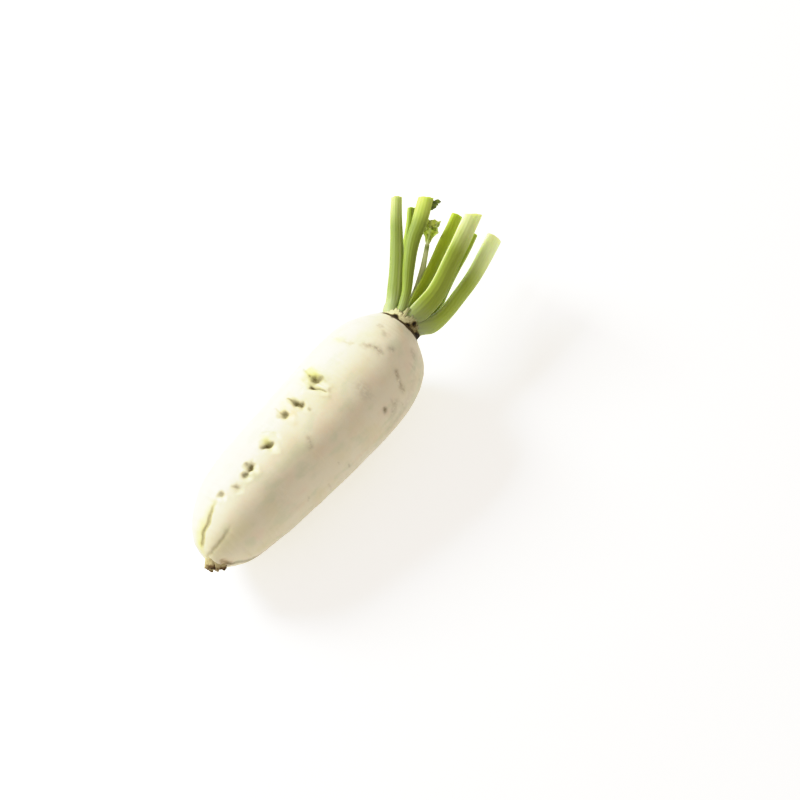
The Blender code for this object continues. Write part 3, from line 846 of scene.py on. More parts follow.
# The dark bottoms and pale lips of the face's scars, then what tints the skin round them, the tail, the
# shoulder and the collar, and painted shade under the tail and along its left edge.
FRONT_SMEARS = (
    Smear(Tint.DARK, (140.4, 37.5), (139.7, 33.0), 3.2, 0.84, 0.5),
    Smear(Tint.DARK, (140.6, 45.0), (140.4, 39.0), 2.0, 0.50, 0.3),
    Smear(Tint.DARK, (144.4, 62.0), (141.3, 46.0), 0.9, 0.42, 0.3),
    Smear(Tint.DARK, (143.2, 31.5), (142.8, 24.5), 2.2, 0.40),
    Smear(Tint.DARK, (133.6, 32.5), (133.7, 30.5), 1.8, 0.90, 0.6),
    Smear(Tint.DARK, (133.9, 30.0), (136.2, 18.0), 0.9, 0.62, 0.4),
    Smear(Tint.PALE, (137.6, 29.0), (138.6, 18.0), 1.3, 0.60, -0.5),
    Smear(Tint.PALE, (128.8, 36.0), (134.4, 13.0), 1.8, 0.30, -0.45),
    Smear(Tint.DARK, (118.6, 44.5), (118.9, 33.0), 1.1, 0.62, 0.3),
    Smear(Tint.DARK, (119.0, 31.8), (119.7, 28.0), 2.4, 0.84, 0.7),
    Smear(Tint.DARK, (119.7, 18.6), (119.5, 17.4), 2.2, 0.50, 0.2),
    Smear(Tint.DARK, (107.8, 50.0), (107.6, 40.0), 0.9, 0.36, 0.2),
    Smear(Tint.DARK, (108.2, 36.5), (107.8, 34.4), 2.7, 0.70, 0.6),
    Smear(Tint.DARK, (103.6, 40.5), (103.4, 37.5), 1.6, 0.32, 0.2),
    Smear(Tint.DARK, (89.7, 42.0), (92.2, 35.0), 1.2, 0.26, 0.2),
    Smear(Tint.DARK, (80.4, 27.2), (83.2, 25.6), 2.3, 0.68, 0.6),
    Smear(Tint.DARK, (83.2, 25.6), (86.4, 23.6), 2.2, 0.64, 0.5),
    Smear(Tint.DARK, (65.2, 29.6), (64.8, 28.2), 1.5, 0.50, 0.3),
    Smear(Tint.DARK, (65.6, 22.2), (63.2, 21.4), 2.0, 0.95, 0.8),
    Smear(Tint.DARK, (68.8, 27.4), (68.0, 25.8), 1.5, 0.32, 0.2),
    Smear(Tint.DARK, (59.4, 20.9), (57.2, 20.5), 2.0, 0.66, 0.5),
    Smear(Tint.DARK, (48.8, 22.0), (48.6, 18.4), 2.9, 0.44, 0.3),
    Smear(Tint.DARK, (39.3, 34.2), (39.3, 31.8), 2.7, 0.55, 0.4),
    Smear(Tint.RUST_AND_SHADE, (112.8, 29.0), (110.6, 27.6), 2.8, 0.50),
    Smear(Tint.RUST_AND_SHADE, (107.0, 25.0), (106.0, 19.0), 2.6, 0.18),
    Smear(Tint.RUST_AND_SHADE, (208.2, 0.0), (207.0, -3.0), 1.6, 0.20),
    Smear(Tint.RUST_AND_SHADE, (202.0, -16.0), (196.0, -27.0), 3.4, 0.10),
    Smear(Tint.GLOW, (144.6, 50.0), (143.2, 40.0), 3.6, 0.95),
    Smear(Tint.GLOW, (135.0, 51.0), (133.0, 44.0), 4.0, 0.30),
    Smear(Tint.GLOW, (113.9, 47.0), (112.0, 42.0), 3.6, 0.40),
    Smear(Tint.GLOW, (121.8, 48.5), (121.0, 44.0), 3.0, 0.25),
    Smear(Tint.GLOW, (86.8, 35.0), (85.2, 29.0), 3.0, 0.50),
    Smear(Tint.GLOW, (31.0, 38.0), (18.0, 42.0), 3.6, 0.38),
    Smear(Tint.GLOW, (16.0, 44.0), (6.5, 50.0), 4.4, 0.55),
    Smear(Tint.GLOW, (7.2, 40.0), (6.2, 46.0), 2.0, 0.75),
    Smear(Tint.GLOW, (30.0, -18.0), (9.0, -14.0), 6.5, 0.22),
    # Painted shade under the tail: a brown and a dark streak in the crease where the rootlets meet the body,
    # then a dark band along the underside that fades out towards the middle.
    Smear(Tint.RUST_AND_SHADE, (6.6, -44.0), (7.6, -58.0), 2.4, 0.50),
    Smear(Tint.DARK, (6.6, -42.0), (8.6, -64.0), 2.1, 0.46, 0.2),
    Smear(Tint.DARK, (9.6, -67.0), (24.0, -86.0), 2.8, 0.42),
    Smear(Tint.DARK, (29.0, -89.5), (56.0, -95.0), 3.6, 0.28),
    # Painted shade: a grey streak along the tail's left edge.
    Smear(Tint.SCUFF_AND_SHADE, (5.2, 86.0), (2.4, 112.0), 1.7, 0.55, 0.2),
    Smear(Tint.SCUFF_AND_SHADE, (200.4, 27.0), (200.0, 23.0), 1.8, 0.50, 0.1),
    Smear(Tint.SCUFF_AND_SHADE, (196.2, 13.5), (195.4, 10.5), 2.0, 0.50, 0.1),
    Smear(Tint.GLOW, (174.4, 54.0), (174.0, 47.0), 2.8, 0.50),
    Smear(Tint.SCUFF_AND_SHADE, (174.6, 40.0), (175.2, 31.0), 2.0, 0.50, 0.1),
    Smear(Tint.SCUFF_AND_SHADE, (179.4, 21.0), (179.0, 17.5), 2.4, 0.45, 0.1),
    Smear(Tint.SCUFF_AND_SHADE, (181.2, 14.0), (182.8, 7.0), 2.0, 0.75, 0.3),
    Smear(Tint.SCUFF_AND_SHADE, (182.6, 5.0), (181.4, 1.5), 2.1, 0.70, 0.3),
    Smear(Tint.SCUFF_AND_SHADE, (189.2, -4.5), (188.8, -8.5), 2.2, 0.65, 0.2),
    Smear(Tint.SCUFF_AND_SHADE, (178.6, -23.5), (176.8, -28.0), 1.5, 0.80, 0.3),
    Smear(Tint.SCUFF_AND_SHADE, (175.4, -31.5), (172.6, -45.0), 1.8, 0.70, 0.3),
    Smear(Tint.DARK, (153.2, -40.5), (152.6, -42.0), 2.2, 0.66, 0.3),
    Smear(Tint.SCUFF_AND_SHADE, (153.7, -6.0), (151.2, -15.0), 4.4, 0.34),
    Smear(Tint.SCUFF_AND_SHADE, (198.8, -32.0), (198.0, -36.0), 3.0, 0.45),
    Smear(Tint.SCUFF_AND_SHADE, (163.0, -46.0), (156.0, -52.0), 3.4, 0.32),
    Smear(Tint.SCUFF_AND_SHADE, (103.4, -2.4), (99.4, -9.8), 1.8, 0.50, 0.1),
    Smear(Tint.SCUFF_AND_SHADE, (166.0, -62.0), (148.0, -70.0), 4.0, 0.20),
    Smear(Tint.SCUFF_AND_SHADE, (184.0, -50.0), (172.0, -60.0), 4.0, 0.16),
    Smear(Tint.DARK, (214.6, 25.0), (214.6, 20.0), 1.3, 1.0),
    Smear(Tint.DARK, (214.6, -13.0), (214.4, -19.0), 1.3, 1.0),
    Smear(Tint.DARK, (214.4, -64.0), (214.6, -78.0), 1.8, 1.0),
)


@dataclass(frozen=True)
class Crease:
    """A crease that runs along the skin from the tail and fades out.

    Attributes:
        path: Its angle in degrees at stations from the tail.
        end: The station where it ends.
        depth: How deep it is.
        half: Half its width.
        start: The station where it starts.
    """

    path: Rows
    end: float
    depth: float
    half: float = 1.5
    start: float = 0.0

    def pressed(self, patch: Patch, narrow: float = 1.0) -> np.ndarray:
        """The depth there: a bell across the path.

        It rises over 4 mm from its start, and fades between 0.62 and 1.1 times the station of its end.

        Args:
            patch: The places.
            narrow: The bell's width, as a share of the crease's own.

        Returns:
            The depths.
        """
        off = patch.across(smooth_value(self.path, np.clip(patch.station, 0.0, self.path[-1][0])))
        risen = fade(patch.station, self.start, self.start + 4.0)
        strength = risen * (1 - fade(patch.station, 0.62 * self.end, 1.1 * self.end))
        return self.depth * strength * bell(off, self.half * narrow)


CREASES = (
    Crease(
        ((0.0, 40.0), (6.1, 36.5), (8.7, 33.5), (11.7, 35.5), (18.7, 31.0), (26.7, 33.0), (31.4, 33.5)),
        end=35.0, depth=0.95, half=1.7, start=4.0,
    ),
    Crease(
        ((0.0, 90.0), (2.2, 50.0), (3.2, 28.0), (5.7, 2.0), (8.6, -1.0), (11.9, -3.5), (20.1, -3.5),
         (25.7, -2.5)),
        end=28.0, depth=0.4, half=1.3,
    ),
    Crease(((0.0, 208.0), (18.0, 220.0), (36.0, 228.0)), end=36.0, depth=0.9),
    Crease(((0.0, 112.0), (24.0, 108.0)), end=24.0, depth=0.6),
)


@dataclass(frozen=True)
class Rootlet:
    """A broken rootlet at the tail: a tapering, twisted peg with a ragged end.

    Attributes:
        start: Its foot in the skin: station, left and lift.
        end: The middle of its broken end.
        thickness: How thick it is at its foot.
        rot: How dark its broken end is, from 0 to 1.
        rings: Rings of its grid.
        columns: Points on each ring.
    """

    start: Triple
    end: Triple
    thickness: float
    rot: float
    rings: int = 40
    columns: int = 28

    def shell(self, draw: np.random.Generator) -> Shell:
        """Its shell.

        The radius is the peg's taper, times 1 plus waves and twisted ridges. Its line bends aside as a sine.
        Three smaller rings close its ragged end, which is sunk in its middle.

        Args:
            draw: The source of the random numbers.

        Returns:
            The shell.
        """
        length = math.dist(self.start, self.end)
        ahead = (np.array(self.end) - self.start) / length
        side = unit(np.cross(ahead, (0.0, 0.3, 1.0)))
        other = np.cross(ahead, side)
        t, turn = steps(self.rings), turns(self.columns, 0.0)
        rough = waves((t, turn / (2 * math.pi)), (4, 5), 14, draw)
        ridges = 0.05 * np.cos(6 * turn + 3 * t + draw.uniform(0, 6))
        radius = self.thickness / 2 * (1 - 0.2 * t) * (1 + 0.08 * rough + ridges)
        bend = 0.3 * np.sin(2.2 * t + draw.uniform(0, 6))
        ragged = 0.6 * waves((turn / (2 * math.pi),), (5,), 8, draw) * t**6
        line = np.array(self.start) + ahead * (length * t + ragged)[..., None] + side * bend[..., None]
        spokes = side * np.cos(turn)[..., None] + other * np.sin(turn)[..., None]
        rings = line + radius[..., None] * spokes
        cap = np.array([0.75, 0.4, 0.12])[:, None, None]
        centre = rings[-1].mean(0) - ahead * 0.5
        rings = np.concatenate([rings, centre + (rings[-1] - centre) * cap])
        broken = 0.95 * self.rot
        capped = np.full((len(cap), self.columns), broken)
        age = np.concatenate([broken * fade(t, 0.6, 1.0) + 0.12 * rough, capped])
        return Shell(LIE.to_scene(rings), {"age": age, "own_place": rings})


@dataclass
class Root:
    """The root: a turned outline, swollen, bent, scarred and creased, with broken rootlets at its tail.

    Attributes:
        outline: The stations and radii that it is turned from.
        middle_line: How far left of straight its line is, at stations.
        swellings: The skin's slow waves: height, waves round it, waves along it, and phase.
        rootlets: The broken rootlets.
        rings: Rings of the skin's grid.
        columns: Points on each ring.
        crowding: How far the points crowd together along the rows of scars, in radians.
        collar_shift: How far left the collar round the crown stands.
        neck: The stations between which the skin turns into the dark neck.
        neck_sides: Angles in degrees round which the neck starts lower, and how much lower.
        top: The stations between which the neck turns into the crown's green foot.
        scar_radius: About the root's radius at its rows of scars.
        cross_marks: How many faint cross marks lie away from the front row of scars.
        seed: The start of the random draws.
        finish: The skin's finish.
        rootlet_finish: The rootlets' finish.
    """

    outline: Rows = (
        (0.0, 0.0), (0.4, 4.0), (2.2, 6.2), (4.6, 11.4), (10.4, 17.8), (18.4, 23.7), (28.0, 28.1),
        (40.0, 31.6), (56.0, 34.4), (76.0, 36.2), (100.0, 37.9), (124.0, 39.2), (146.0, 40.0), (163.0, 39.8),
        (179.0, 38.2), (192.0, 34.6), (202.0, 29.2), (208.6, 23.6), (212.6, 19.4), (214.9, 17.0),
        (216.1, 15.6), (217.6, 14.8), (220.6, 13.8), (222.4, 10.0), (223.4, 5.0), (223.6, 0.0),
    )
    middle_line: Rows = (
        (-5.0, -0.4), (0.0, 0.6), (2.2, 3.2), (4.6, 6.8), (10.4, 8.6), (18.4, 9.2), (28.0, 9.9), (40.0, 10.2),
        (54.0, 9.6), (72.0, 7.8), (100.0, 4.8), (130.0, 2.1), (160.0, 0.2), (190.0, -0.6), (224.0, 0.5),
    )
    swellings: Rows = ((0.5, 2, 1.3, 2.83), (0.35, 3, 1.2, -0.23), (0.15, 5, 2.0, 2.76))
    rootlets: Sequence[Rootlet] = (
        Rootlet((6.4, 8.6, 2.4), (-2.6, 4.2, 2.0), 5.2, 0.5),
        Rootlet((6.8, 8.2, 7.2), (-0.4, 1.2, 3.6), 6.2, 1.0),
        Rootlet((7.6, 5.2, 8.6), (1.3, -1.9, 4.0), 5.4, 0.5),
        Rootlet((8.6, 2.0, 7.0), (3.4, -4.5, 3.8), 6.0, 1.0),
        Rootlet((4.0, 3.6, -2.0), (-1.4, 1.6, -4.4), 5.0, 0.6),
    )
    rings: int = 420
    columns: int = 232
    crowding: float = 0.27
    collar_shift: float = 1.9
    neck: tuple[float, float] = (213.4, 214.6)
    neck_sides: Rows = ((-70.0, 1.2), (74.0, 1.1))
    top: tuple[float, float] = (217.4, 219.4)
    scar_radius: float = 34.0
    cross_marks: int = 70
    seed: int = 11
    finish: SkinFinish = SkinFinish()
    rootlet_finish: HuskFinish = HuskFinish(
        "rootlet_bark", pale=(0.44, 0.38, 0.20), brown=(0.17, 0.105, 0.045), black=(0.04, 0.025, 0.01)
    )

    def middle(self, station: np.ndarray | float) -> np.ndarray:
        """How far left of straight the middle line is at a station."""
        return smooth_value(self.middle_line, station)

    def patch(self) -> Patch:
        """The grid of places on the turned outline, closer together along the rows of scars.

        Returns:
            The places, as arrays of rings by points.
        """
        station, radius = smooth_line(self.outline, self.rings).T
        turn = turns(self.columns, 0.0)
        row = math.radians(FRONT_SCARS[0].angle)
        angle = turn - self.crowding * np.sin(2 * (turn - row))
        grids = np.broadcast_arrays(station[:, None], angle, np.maximum(radius, 0.02)[:, None])
        return Patch(*(grid.copy() for grid in grids))

    def swelling(self, patch: Patch) -> np.ndarray:
        """How far the skin stands out: sine waves round and along, which die away at both ends.

        Args:
            patch: The places.

        Returns:
            The height there.
        """
        share = patch.station / self.outline[-1][0]
        wave = sum(
            size * np.sin(around * patch.angle + along * 2 * math.pi * share + phase)
            for size, around, along, phase in self.swellings
        )
        return np.sin(math.pi * np.clip(share, 0.0, 1.0)) * wave

    def smears(self, draw: np.random.Generator) -> list[Smear]:
        """All smears: the face's, the dark bottoms of the back's scars, and faint cross marks at random.

        Args:
            draw: The source of the random numbers.

        Returns:
            The smears.
        """
        made = list(FRONT_SMEARS)
        for scar in BACK_SCARS:
            spread = math.degrees(scar.half_width * 0.45 / self.scar_radius)
            shift = draw.uniform(-0.8, 0.8)
            start = (scar.station + shift, scar.angle - spread)
            end = (scar.station - shift, scar.angle + spread * 0.5)
            made.append(Smear(Tint.DARK, start, end, draw.uniform(1.1, 1.7), draw.uniform(0.55, 0.9), 0.5))
        for _ in range(self.cross_marks):
            start = (draw.uniform(22.0, 207.0), draw.uniform(60.0, 320.0))
            length, lean = draw.uniform(3.0, 14.0), draw.uniform(-0.8, 0.8)
            end = (start[0] + lean, start[1] + length)
            made.append(Smear(Tint.SCUFF_AND_SHADE, start, end, draw.uniform(0.5, 1.0), draw.uniform(0.10, 0.45)))
        return made

    def marks(
        self, patch: Patch, marked: Patch, wavered: Patch, covered: Sequence[tuple[Smear, np.ndarray]]
    ) -> dict[str, np.ndarray]:
        """What the skin's finish reads, from 0 to 1: the tints, the creases, the dark neck and the brown tip.

        A tint is 1 less the product of what each of its smears leaves bare. The hollows of the scars and the
        crown's foot glow too.

        Args:
            patch: The places.
            marked: The places, as the scars and smears waver.
            wavered: The places, as the creases waver.
            covered: The smears, and how much of each is there.

        Returns:
            The marks by name.
        """
        marks = {}
        for tint in Tint:
            bare = [1 - smear.strength * cover for smear, cover in covered if smear.tint is tint]
            marks[tint.value] = 1 - np.prod(bare, axis=0)
        scars = FRONT_SCARS + BACK_SCARS
        hollows = sum(bell(scar.reach(marked), 1.35) * min(1.0, scar.depth / 2.4) for scar in scars)
        glow = np.clip(marks[Tint.GLOW.value] + 0.5 * hollows, 0, 1)
        top = fade(patch.station, *self.top)
        marks[Tint.GLOW.value] = np.maximum(glow, 0.8 * top)
        # Painted shade: the crease mark grows with the creases' depth.
        marks["crease"] = np.clip(1.5 * sum(crease.pressed(wavered, 1.1) for crease in CREASES), 0, 1)
        lower = sum(size * bell(degrees_off(patch.angle, side), 42.0) for side, size in self.neck_sides)
        marks["neck"] = fade(patch.station + lower, *self.neck) * (1 - top)
        marks["tip"] = fade(-patch.station, -3.0, -0.4)
        return marks

    def mesh(self) -> bpy.types.Mesh:
        """The skin's mesh: the outline turned, with all its relief, and flat where it rests.

        The radius is the outline's, plus the swelling and a fine ripple, less the depths of the scars, the
        creases and the smears. All these shrink with the radius where it is below 4 mm.

        Returns:
            The mesh.
        """
        draw = np.random.default_rng(self.seed)
        patch = self.patch()
        station = patch.station
        place = (station / self.outline[-1][0], patch.angle / (2 * math.pi))
        drift = [waves(place, (46, 32), 60, draw) for _ in range(2)]
        marked = patch.drifted(0.45 * drift[0], 0.55 * drift[1])
        wavered = patch.drifted(0.2 * drift[0], 0.3 * drift[1] * fade(station, 4.0, 16.0))
        covered = [(smear, smear.cover(marked)) for smear in self.smears(draw)]
        marks = self.marks(patch, marked, wavered, covered)
        ripple = 0.08 * waves(place, (70, 5), 40, draw) + 0.18 * waves(place, (9, 7), 30, draw)
        ripple = ripple * np.minimum(fade(station, 2.0, 14.0), fade(-station, -213.0, -200.0))
        pressed = sum(scar.pressed(marked) for scar in FRONT_SCARS + BACK_SCARS)
        pressed = pressed + sum(crease.pressed(wavered) for crease in CREASES)
        pressed = pressed + sum(smear.depth * cover for smear, cover in covered)
        relief = self.swelling(patch) - pressed * fade(station, 0.2, 2.0) + ripple
        radius = patch.radius + np.minimum(patch.radius / 4.0, 1.0) * relief
        left, lift = radius * np.sin(patch.angle), radius * np.cos(patch.angle)
        marks["own_place"] = points_of(station, left, lift)
        left = left + self.collar_shift * fade(station, 204.0, 215.0) + self.middle(station)
        points = LIE.to_scene(points_of(station, left, lift))
        points[..., 2] = np.maximum(points[..., 2], 0.0)
        return shell_mesh("turnip_root", Shell(points, marks))

    def build(self) -> None:
        """Adds the skin and the rootlets to the scene."""
        add_piece(self.mesh(), self.finish.material(), "root_skin", "root")
        draw = np.random.default_rng(self.seed + 1)
        rootlets = shell_mesh("tail_rootlets", *(rootlet.shell(draw) for rootlet in self.rootlets))
        add_piece(rootlets, self.rootlet_finish.material(), "root_skin", "root")


@dataclass(frozen=True)
class Scale:
    """The dry base of an old leaf.

    Attributes:
        angle: Where it stands round the crown, in radians.
        width: Its width at its foot.
        height: How high it stands.
        lean: How far its edge leans out.
        layer: How far it stands outside the crown's radius.
        tone: How much darker than the others it is.
    """

    angle: float
    width: float
    height: float
    lean: float
    layer: float
    tone: float


@dataclass
class Crown:
    """The foot that the stalks grow from, with the dry bases of old leaves round it.

    Attributes:
        root: The root that it ends.
        station: Where the crown's foot is.
        radius: The radius of the ring of old leaf bases.
        scales: How many of them stand in the ring.
        sliver: A narrow, higher one that stands on its own.
        spots: Dark spots on the ring: angle in degrees, height, and half their width in degrees.
        brown_side: Where the ring is brownest, in degrees.
        tall_side: Where it is highest, in degrees.
        lowered: How far the ring is set down.
        sunk: How far the foot of a leaf base reaches below its height 0.
        rings: Rings of a leaf base's grid.
        columns: Points on each ring.
        seed: The start of the random draws.
        finish: The finish of the old leaf bases.
    """

    root: Root
    station: float = 217.4
    radius: float = 15.7
    scales: int = 19
    sliver: Scale = Scale(math.radians(8.0), 3.4, 9.6, -0.8, -0.2, -0.3)
    spots: Rows = (
        (22.0, 0.2, 7.5), (-17.0, 0.2, 6.5), (-30.0, 4.6, 5.6), (-70.0, 0.6, 14.0), (140.0, 0.3, 9.0),
        (205.0, 0.8, 11.0),
    )
    brown_side: float = -60.0
    tall_side: float = -14.0
    lowered: float = 1.3
    sunk: float = 2.4
    rings: int = 22
    columns: int = 36
    seed: int = 5
    finish: HuskFinish = HuskFinish("dry_leaf_base")

    def place(self, points: np.ndarray) -> np.ndarray:
        """Points of the crown's frame, which starts at the middle of its foot, in the scene."""
        return LIE.to_scene(points + np.array([self.station, float(self.root.middle(self.station)), 0.0]))

    def around(self, up: np.ndarray, out: np.ndarray, angle: np.ndarray) -> np.ndarray:
        """Points of the crown's frame: how high, how far from the collar's middle, and at what angle."""
        return points_of(up, self.root.collar_shift + out * np.sin(angle), out * np.cos(angle))

    def shell(self, scale: Scale, draw: np.random.Generator) -> Shell:
        """The shell of one old leaf base: a curved scale that hugs the crown.

        On a grid of height t and turn round its section, it is a flat oval bent to the crown's radius, wider
        at its foot, leaning out towards its torn edge, whose height is ragged.

        Args:
            scale: The leaf base.
            draw: The source of the random numbers.

        Returns:
            The shell.
        """
        t, turn = steps(self.rings), turns(self.columns)
        side, depth = np.cos(turn), np.sin(turn)
        torn = 1 + 0.20 * waves(((side + 1) / 2,), (7,), 12, draw)
        stretch = np.where(t > 0.5, 1 + (torn - 1) * (2 * t - 1), 1.0)
        up = -self.sunk + (scale.height + self.sunk) * t * stretch
        up = up - 0.5 * side**2 * t**2 - self.lowered
        half = scale.width / 2 * (1 - 0.1 * t**2) * side
        thick = 0.5 * (1.1 - 0.6 * t) * (1 - 0.75 * side**2)
        crumple = 0.2 * waves((t, (side + 1) / 2), (3, 4), 12, draw)
        out = self.radius + scale.layer + scale.lean * t**1.6 + thick * depth + crumple * t
        angle = scale.angle + half / self.radius
        points = self.around(up, out, angle)
        up = up + self.lowered
        age = 0.95 - 0.95 * fade(up, -1.0, 0.6) + scale.tone * (1 - 0.6 * fade(up, 2.0, 7.0))
        for degrees, lift, reach in self.spots:
            age = age + 1.5 * bell(degrees_off(angle, degrees), reach) * bell(up - lift, 1.5)
        return Shell(self.place(points), {"age": age, "fresh": 0.5 * fade(up, 3.0, 8.0), "own_place": points})

    def build(self) -> None:
        """Adds the old leaf bases to the scene: a ring that is higher on one side and browner on another."""
        draw = np.random.default_rng(self.seed)
        shells = []
        for i in range(self.scales):
            angle = 2 * math.pi * (i + draw.uniform(-0.25, 0.25)) / self.scales
            width, lean = draw.uniform(9.0, 13.0), draw.uniform(-0.7, -0.1)
            tall = bell(degrees_off(angle, self.tall_side), 44.0)
            height = draw.uniform(2.4, 3.1) + draw.uniform(3.2, 4.6) * tall
            tone = 0.62 * bell(degrees_off(angle, self.brown_side), 38.0) + draw.uniform(-0.10, 0.10)
            scale = Scale(angle, width, height, lean, draw.uniform(-0.6, 0.2), tone)
            shells.append(self.shell(scale, draw))
        shells.append(self.shell(self.sliver, draw))
        add_piece(shell_mesh("old_leaf_bases", *shells), self.finish.material(), "root_skin", "root")


@dataclass(frozen=True)
class StalkShape:
    """The shape of one cut leaf stalk, in the crown's frame.

    Attributes:
        path: Points of its middle line, the first at its foot.
        backs: The angle that its back faces, in degrees, at its foot and at its cut.
        sizes: Share of its length, width and thickness.
        slant: How far the cut is off square, in degrees.
        sheath: The sheathing foot: its angle round the crown in degrees, its width, its radius round the
            crown's line, and how high it reaches.
    """

    path: Rows
    backs: tuple[float, float]
    sizes: Rows
    slant: float
    sheath: tuple[float, float, float, float]

    def line(self, rings: int, sunk: float = 2.0) -> np.ndarray:
        """Points at even distances along the middle line, from a foot sunk in the crown."""
        rows = np.array(self.path, float)
        return smooth_line(np.vstack([rows[0] - unit(rows[1] - rows[0]) * sunk, rows]), rings)

    def axes(self, line: np.ndarray) -> tuple[np.ndarray, np.ndarray, np.ndarray]:
        """The directions at each point of a line.

        Args:
            line: The points, at even distances along the stalk's middle line.

        Returns:
            The across, back and ahead directions.
        """
        share = np.linspace(0.0, 1.0, len(line))
        turn = np.radians(self.backs[0] + (self.backs[1] - self.backs[0]) * share)
        ahead = unit(np.gradient(line, axis=0))
        back = np.stack([np.zeros_like(turn), np.sin(turn), np.cos(turn)], axis=-1)
        back = unit(back - ahead * (back * ahead).sum(-1, keepdims=True))
        return unit(np.cross(ahead, back)), back, ahead

    def width(self, share: np.ndarray | float) -> np.ndarray:
        """Its width at shares of its length."""
        return smooth_value([row[:2] for row in self.sizes], share)

    def thickness(self, share: np.ndarray | float) -> np.ndarray:
        """Its thickness at shares of its length."""
        return smooth_value([(row[0], row[2]) for row in self.sizes], share)


@dataclass
class Stalk:
    """One cut leaf stalk: a ribbed round back, a shallow channel inside, a sheathing foot and a cut end.

    Attributes:
        node: The CAD node that it stands for.
        shape: Its shape.
        crown: The crown that it grows from.
        finish: Its finish.
        seed: The start of the random draws.
        rings: Rings of its grid.
        columns: Points on each ring.
        sheath_thinness: How thick the sheath is, as a share of the stalk.
        channel: How deep the channel is, as a share of the stalk's thickness.
        ribs: How many ribs it has.
        rib_height: How high they are.
        unevenness: How much its thickness varies, as a share.
        raggedness: How rough the cut's edge is.
        rim: The rings that close the cut, from its edge: their share of its size, and how far they stand out.
    """

    node: str
    shape: StalkShape
    crown: Crown
    finish: StalkFinish
    seed: int
    rings: int = STALK_RINGS
    columns: int = 76
    sheath_thinness: float = 0.8
    channel: float = 0.22
    ribs: int = 15
    rib_height: float = 0.06
    unevenness: float = 0.016
    raggedness: float = 0.22
    rim: Rows = (
        (0.985, 0.16), (0.95, 0.20), (0.86, 0.12), (0.72, -0.10), (0.55, -0.30), (0.36, -0.42), (0.16, -0.46),
    )

    def mesh(self) -> bpy.types.Mesh:
        """The stalk's mesh, in rings along its line.

        A ring is an oval. Its inner side is pressed in by a bell, which is the channel, and the ribs are
        cosines round it. Towards the foot it passes into an arc round the crown, as a weighted mean of the
        two. The last rings shrink to the middle of the cut, with a rounded rim and a sunken pith.

        Returns:
            The mesh.
        """
        draw = np.random.default_rng(self.seed)
        line = self.shape.line(self.rings)
        across, back, ahead = (axis[:, None] for axis in self.shape.axes(line))
        share, turn = steps(self.rings), turns(self.columns)
        foot_angle, foot_width, foot_radius, foot_height = self.shape.sheath
        sheath = 1 - fade(line[:, :1], 0.0, foot_height)
        swell = 1 + self.unevenness * waves((share, turn / (2 * math.pi)), (4, 3), 16, draw)
        ribs = np.cos(self.ribs * turn + 1.2 * np.sin(3.0 * share + draw.uniform(0, 6))) * (1 - sheath)
        half = self.shape.width(share) / 2 + self.rib_height * ribs
        half_thick = self.shape.thickness(share) / 2 + self.rib_height * ribs
        side = np.cos(turn) * half * swell
        depth = np.sin(turn) * half_thick * swell
        pressed = (1 - sheath) * self.channel * 2 * half_thick * bell(np.cos(turn), 0.45)
        depth = depth + np.where(np.sin(turn) < 0, pressed, 0.0)
        tube = line[:, None] + across * side[..., None] + back * depth[..., None]
        spread = math.radians(foot_angle) - np.cos(turn) * foot_width / 2 / foot_radius
        out = foot_radius + np.sin(turn) * half_thick * (1 - 0.45 * np.cos(turn) ** 2) * self.sheath_thinness
        arc = self.crown.around(line[:, :1], out, spread)
        arc[..., 1:] += line[:, None, 1:] - np.array(self.shape.path[0][1:])
        tube = tube + (arc - tube) * sheath[..., None]
        off = (tube[-1] - line[-1]) @ across[-1, 0]
        ragged = self.raggedness * waves((turn[0] / (2 * math.pi),), (9,), 12, draw)
        cut = tube[-1] + ahead[-1] * (math.tan(math.radians(self.shape.slant)) * off + ragged)[:, None]
        tube = tube + (cut - tube[-1]) * fade(share, 0.9, 1.0)[..., None]
        shrink, raised = (column[:, None, None] for column in np.array(self.rim).T)
        middle = cut.mean(0)
        cap = middle + (cut - middle) * shrink + ahead[-1] * raised
        own = points_of(side, depth, line[:, :1])
        own_cap = own[-1] * shrink * np.array([1, 1, 0]) + own[-1] * np.array([0, 0, 1])
        caps = np.ones((len(shrink), self.columns))
        pith = np.clip(1.25 * (1 - shrink[:, :, 0]) + 0.55, 0, 1)
        marks = {
            "height": np.concatenate([share + 0 * turn, caps]),
            "rounded": np.concatenate([np.sin(turn) * (1 - 0.5 * sheath) + 0.5 * sheath, caps]),
            "cut": np.concatenate([0 * side, caps * pith]),
            "own_place": np.concatenate([own, own_cap]),
        }
        rings = np.concatenate([tube, cap])
        return shell_mesh(self.node + "_skin", Shell(self.crown.place(rings), marks))

    def build(self) -> None:
        """Adds the stalk to the scene."""
        add_piece(self.mesh(), self.finish.material(), "stalk_green", self.node)


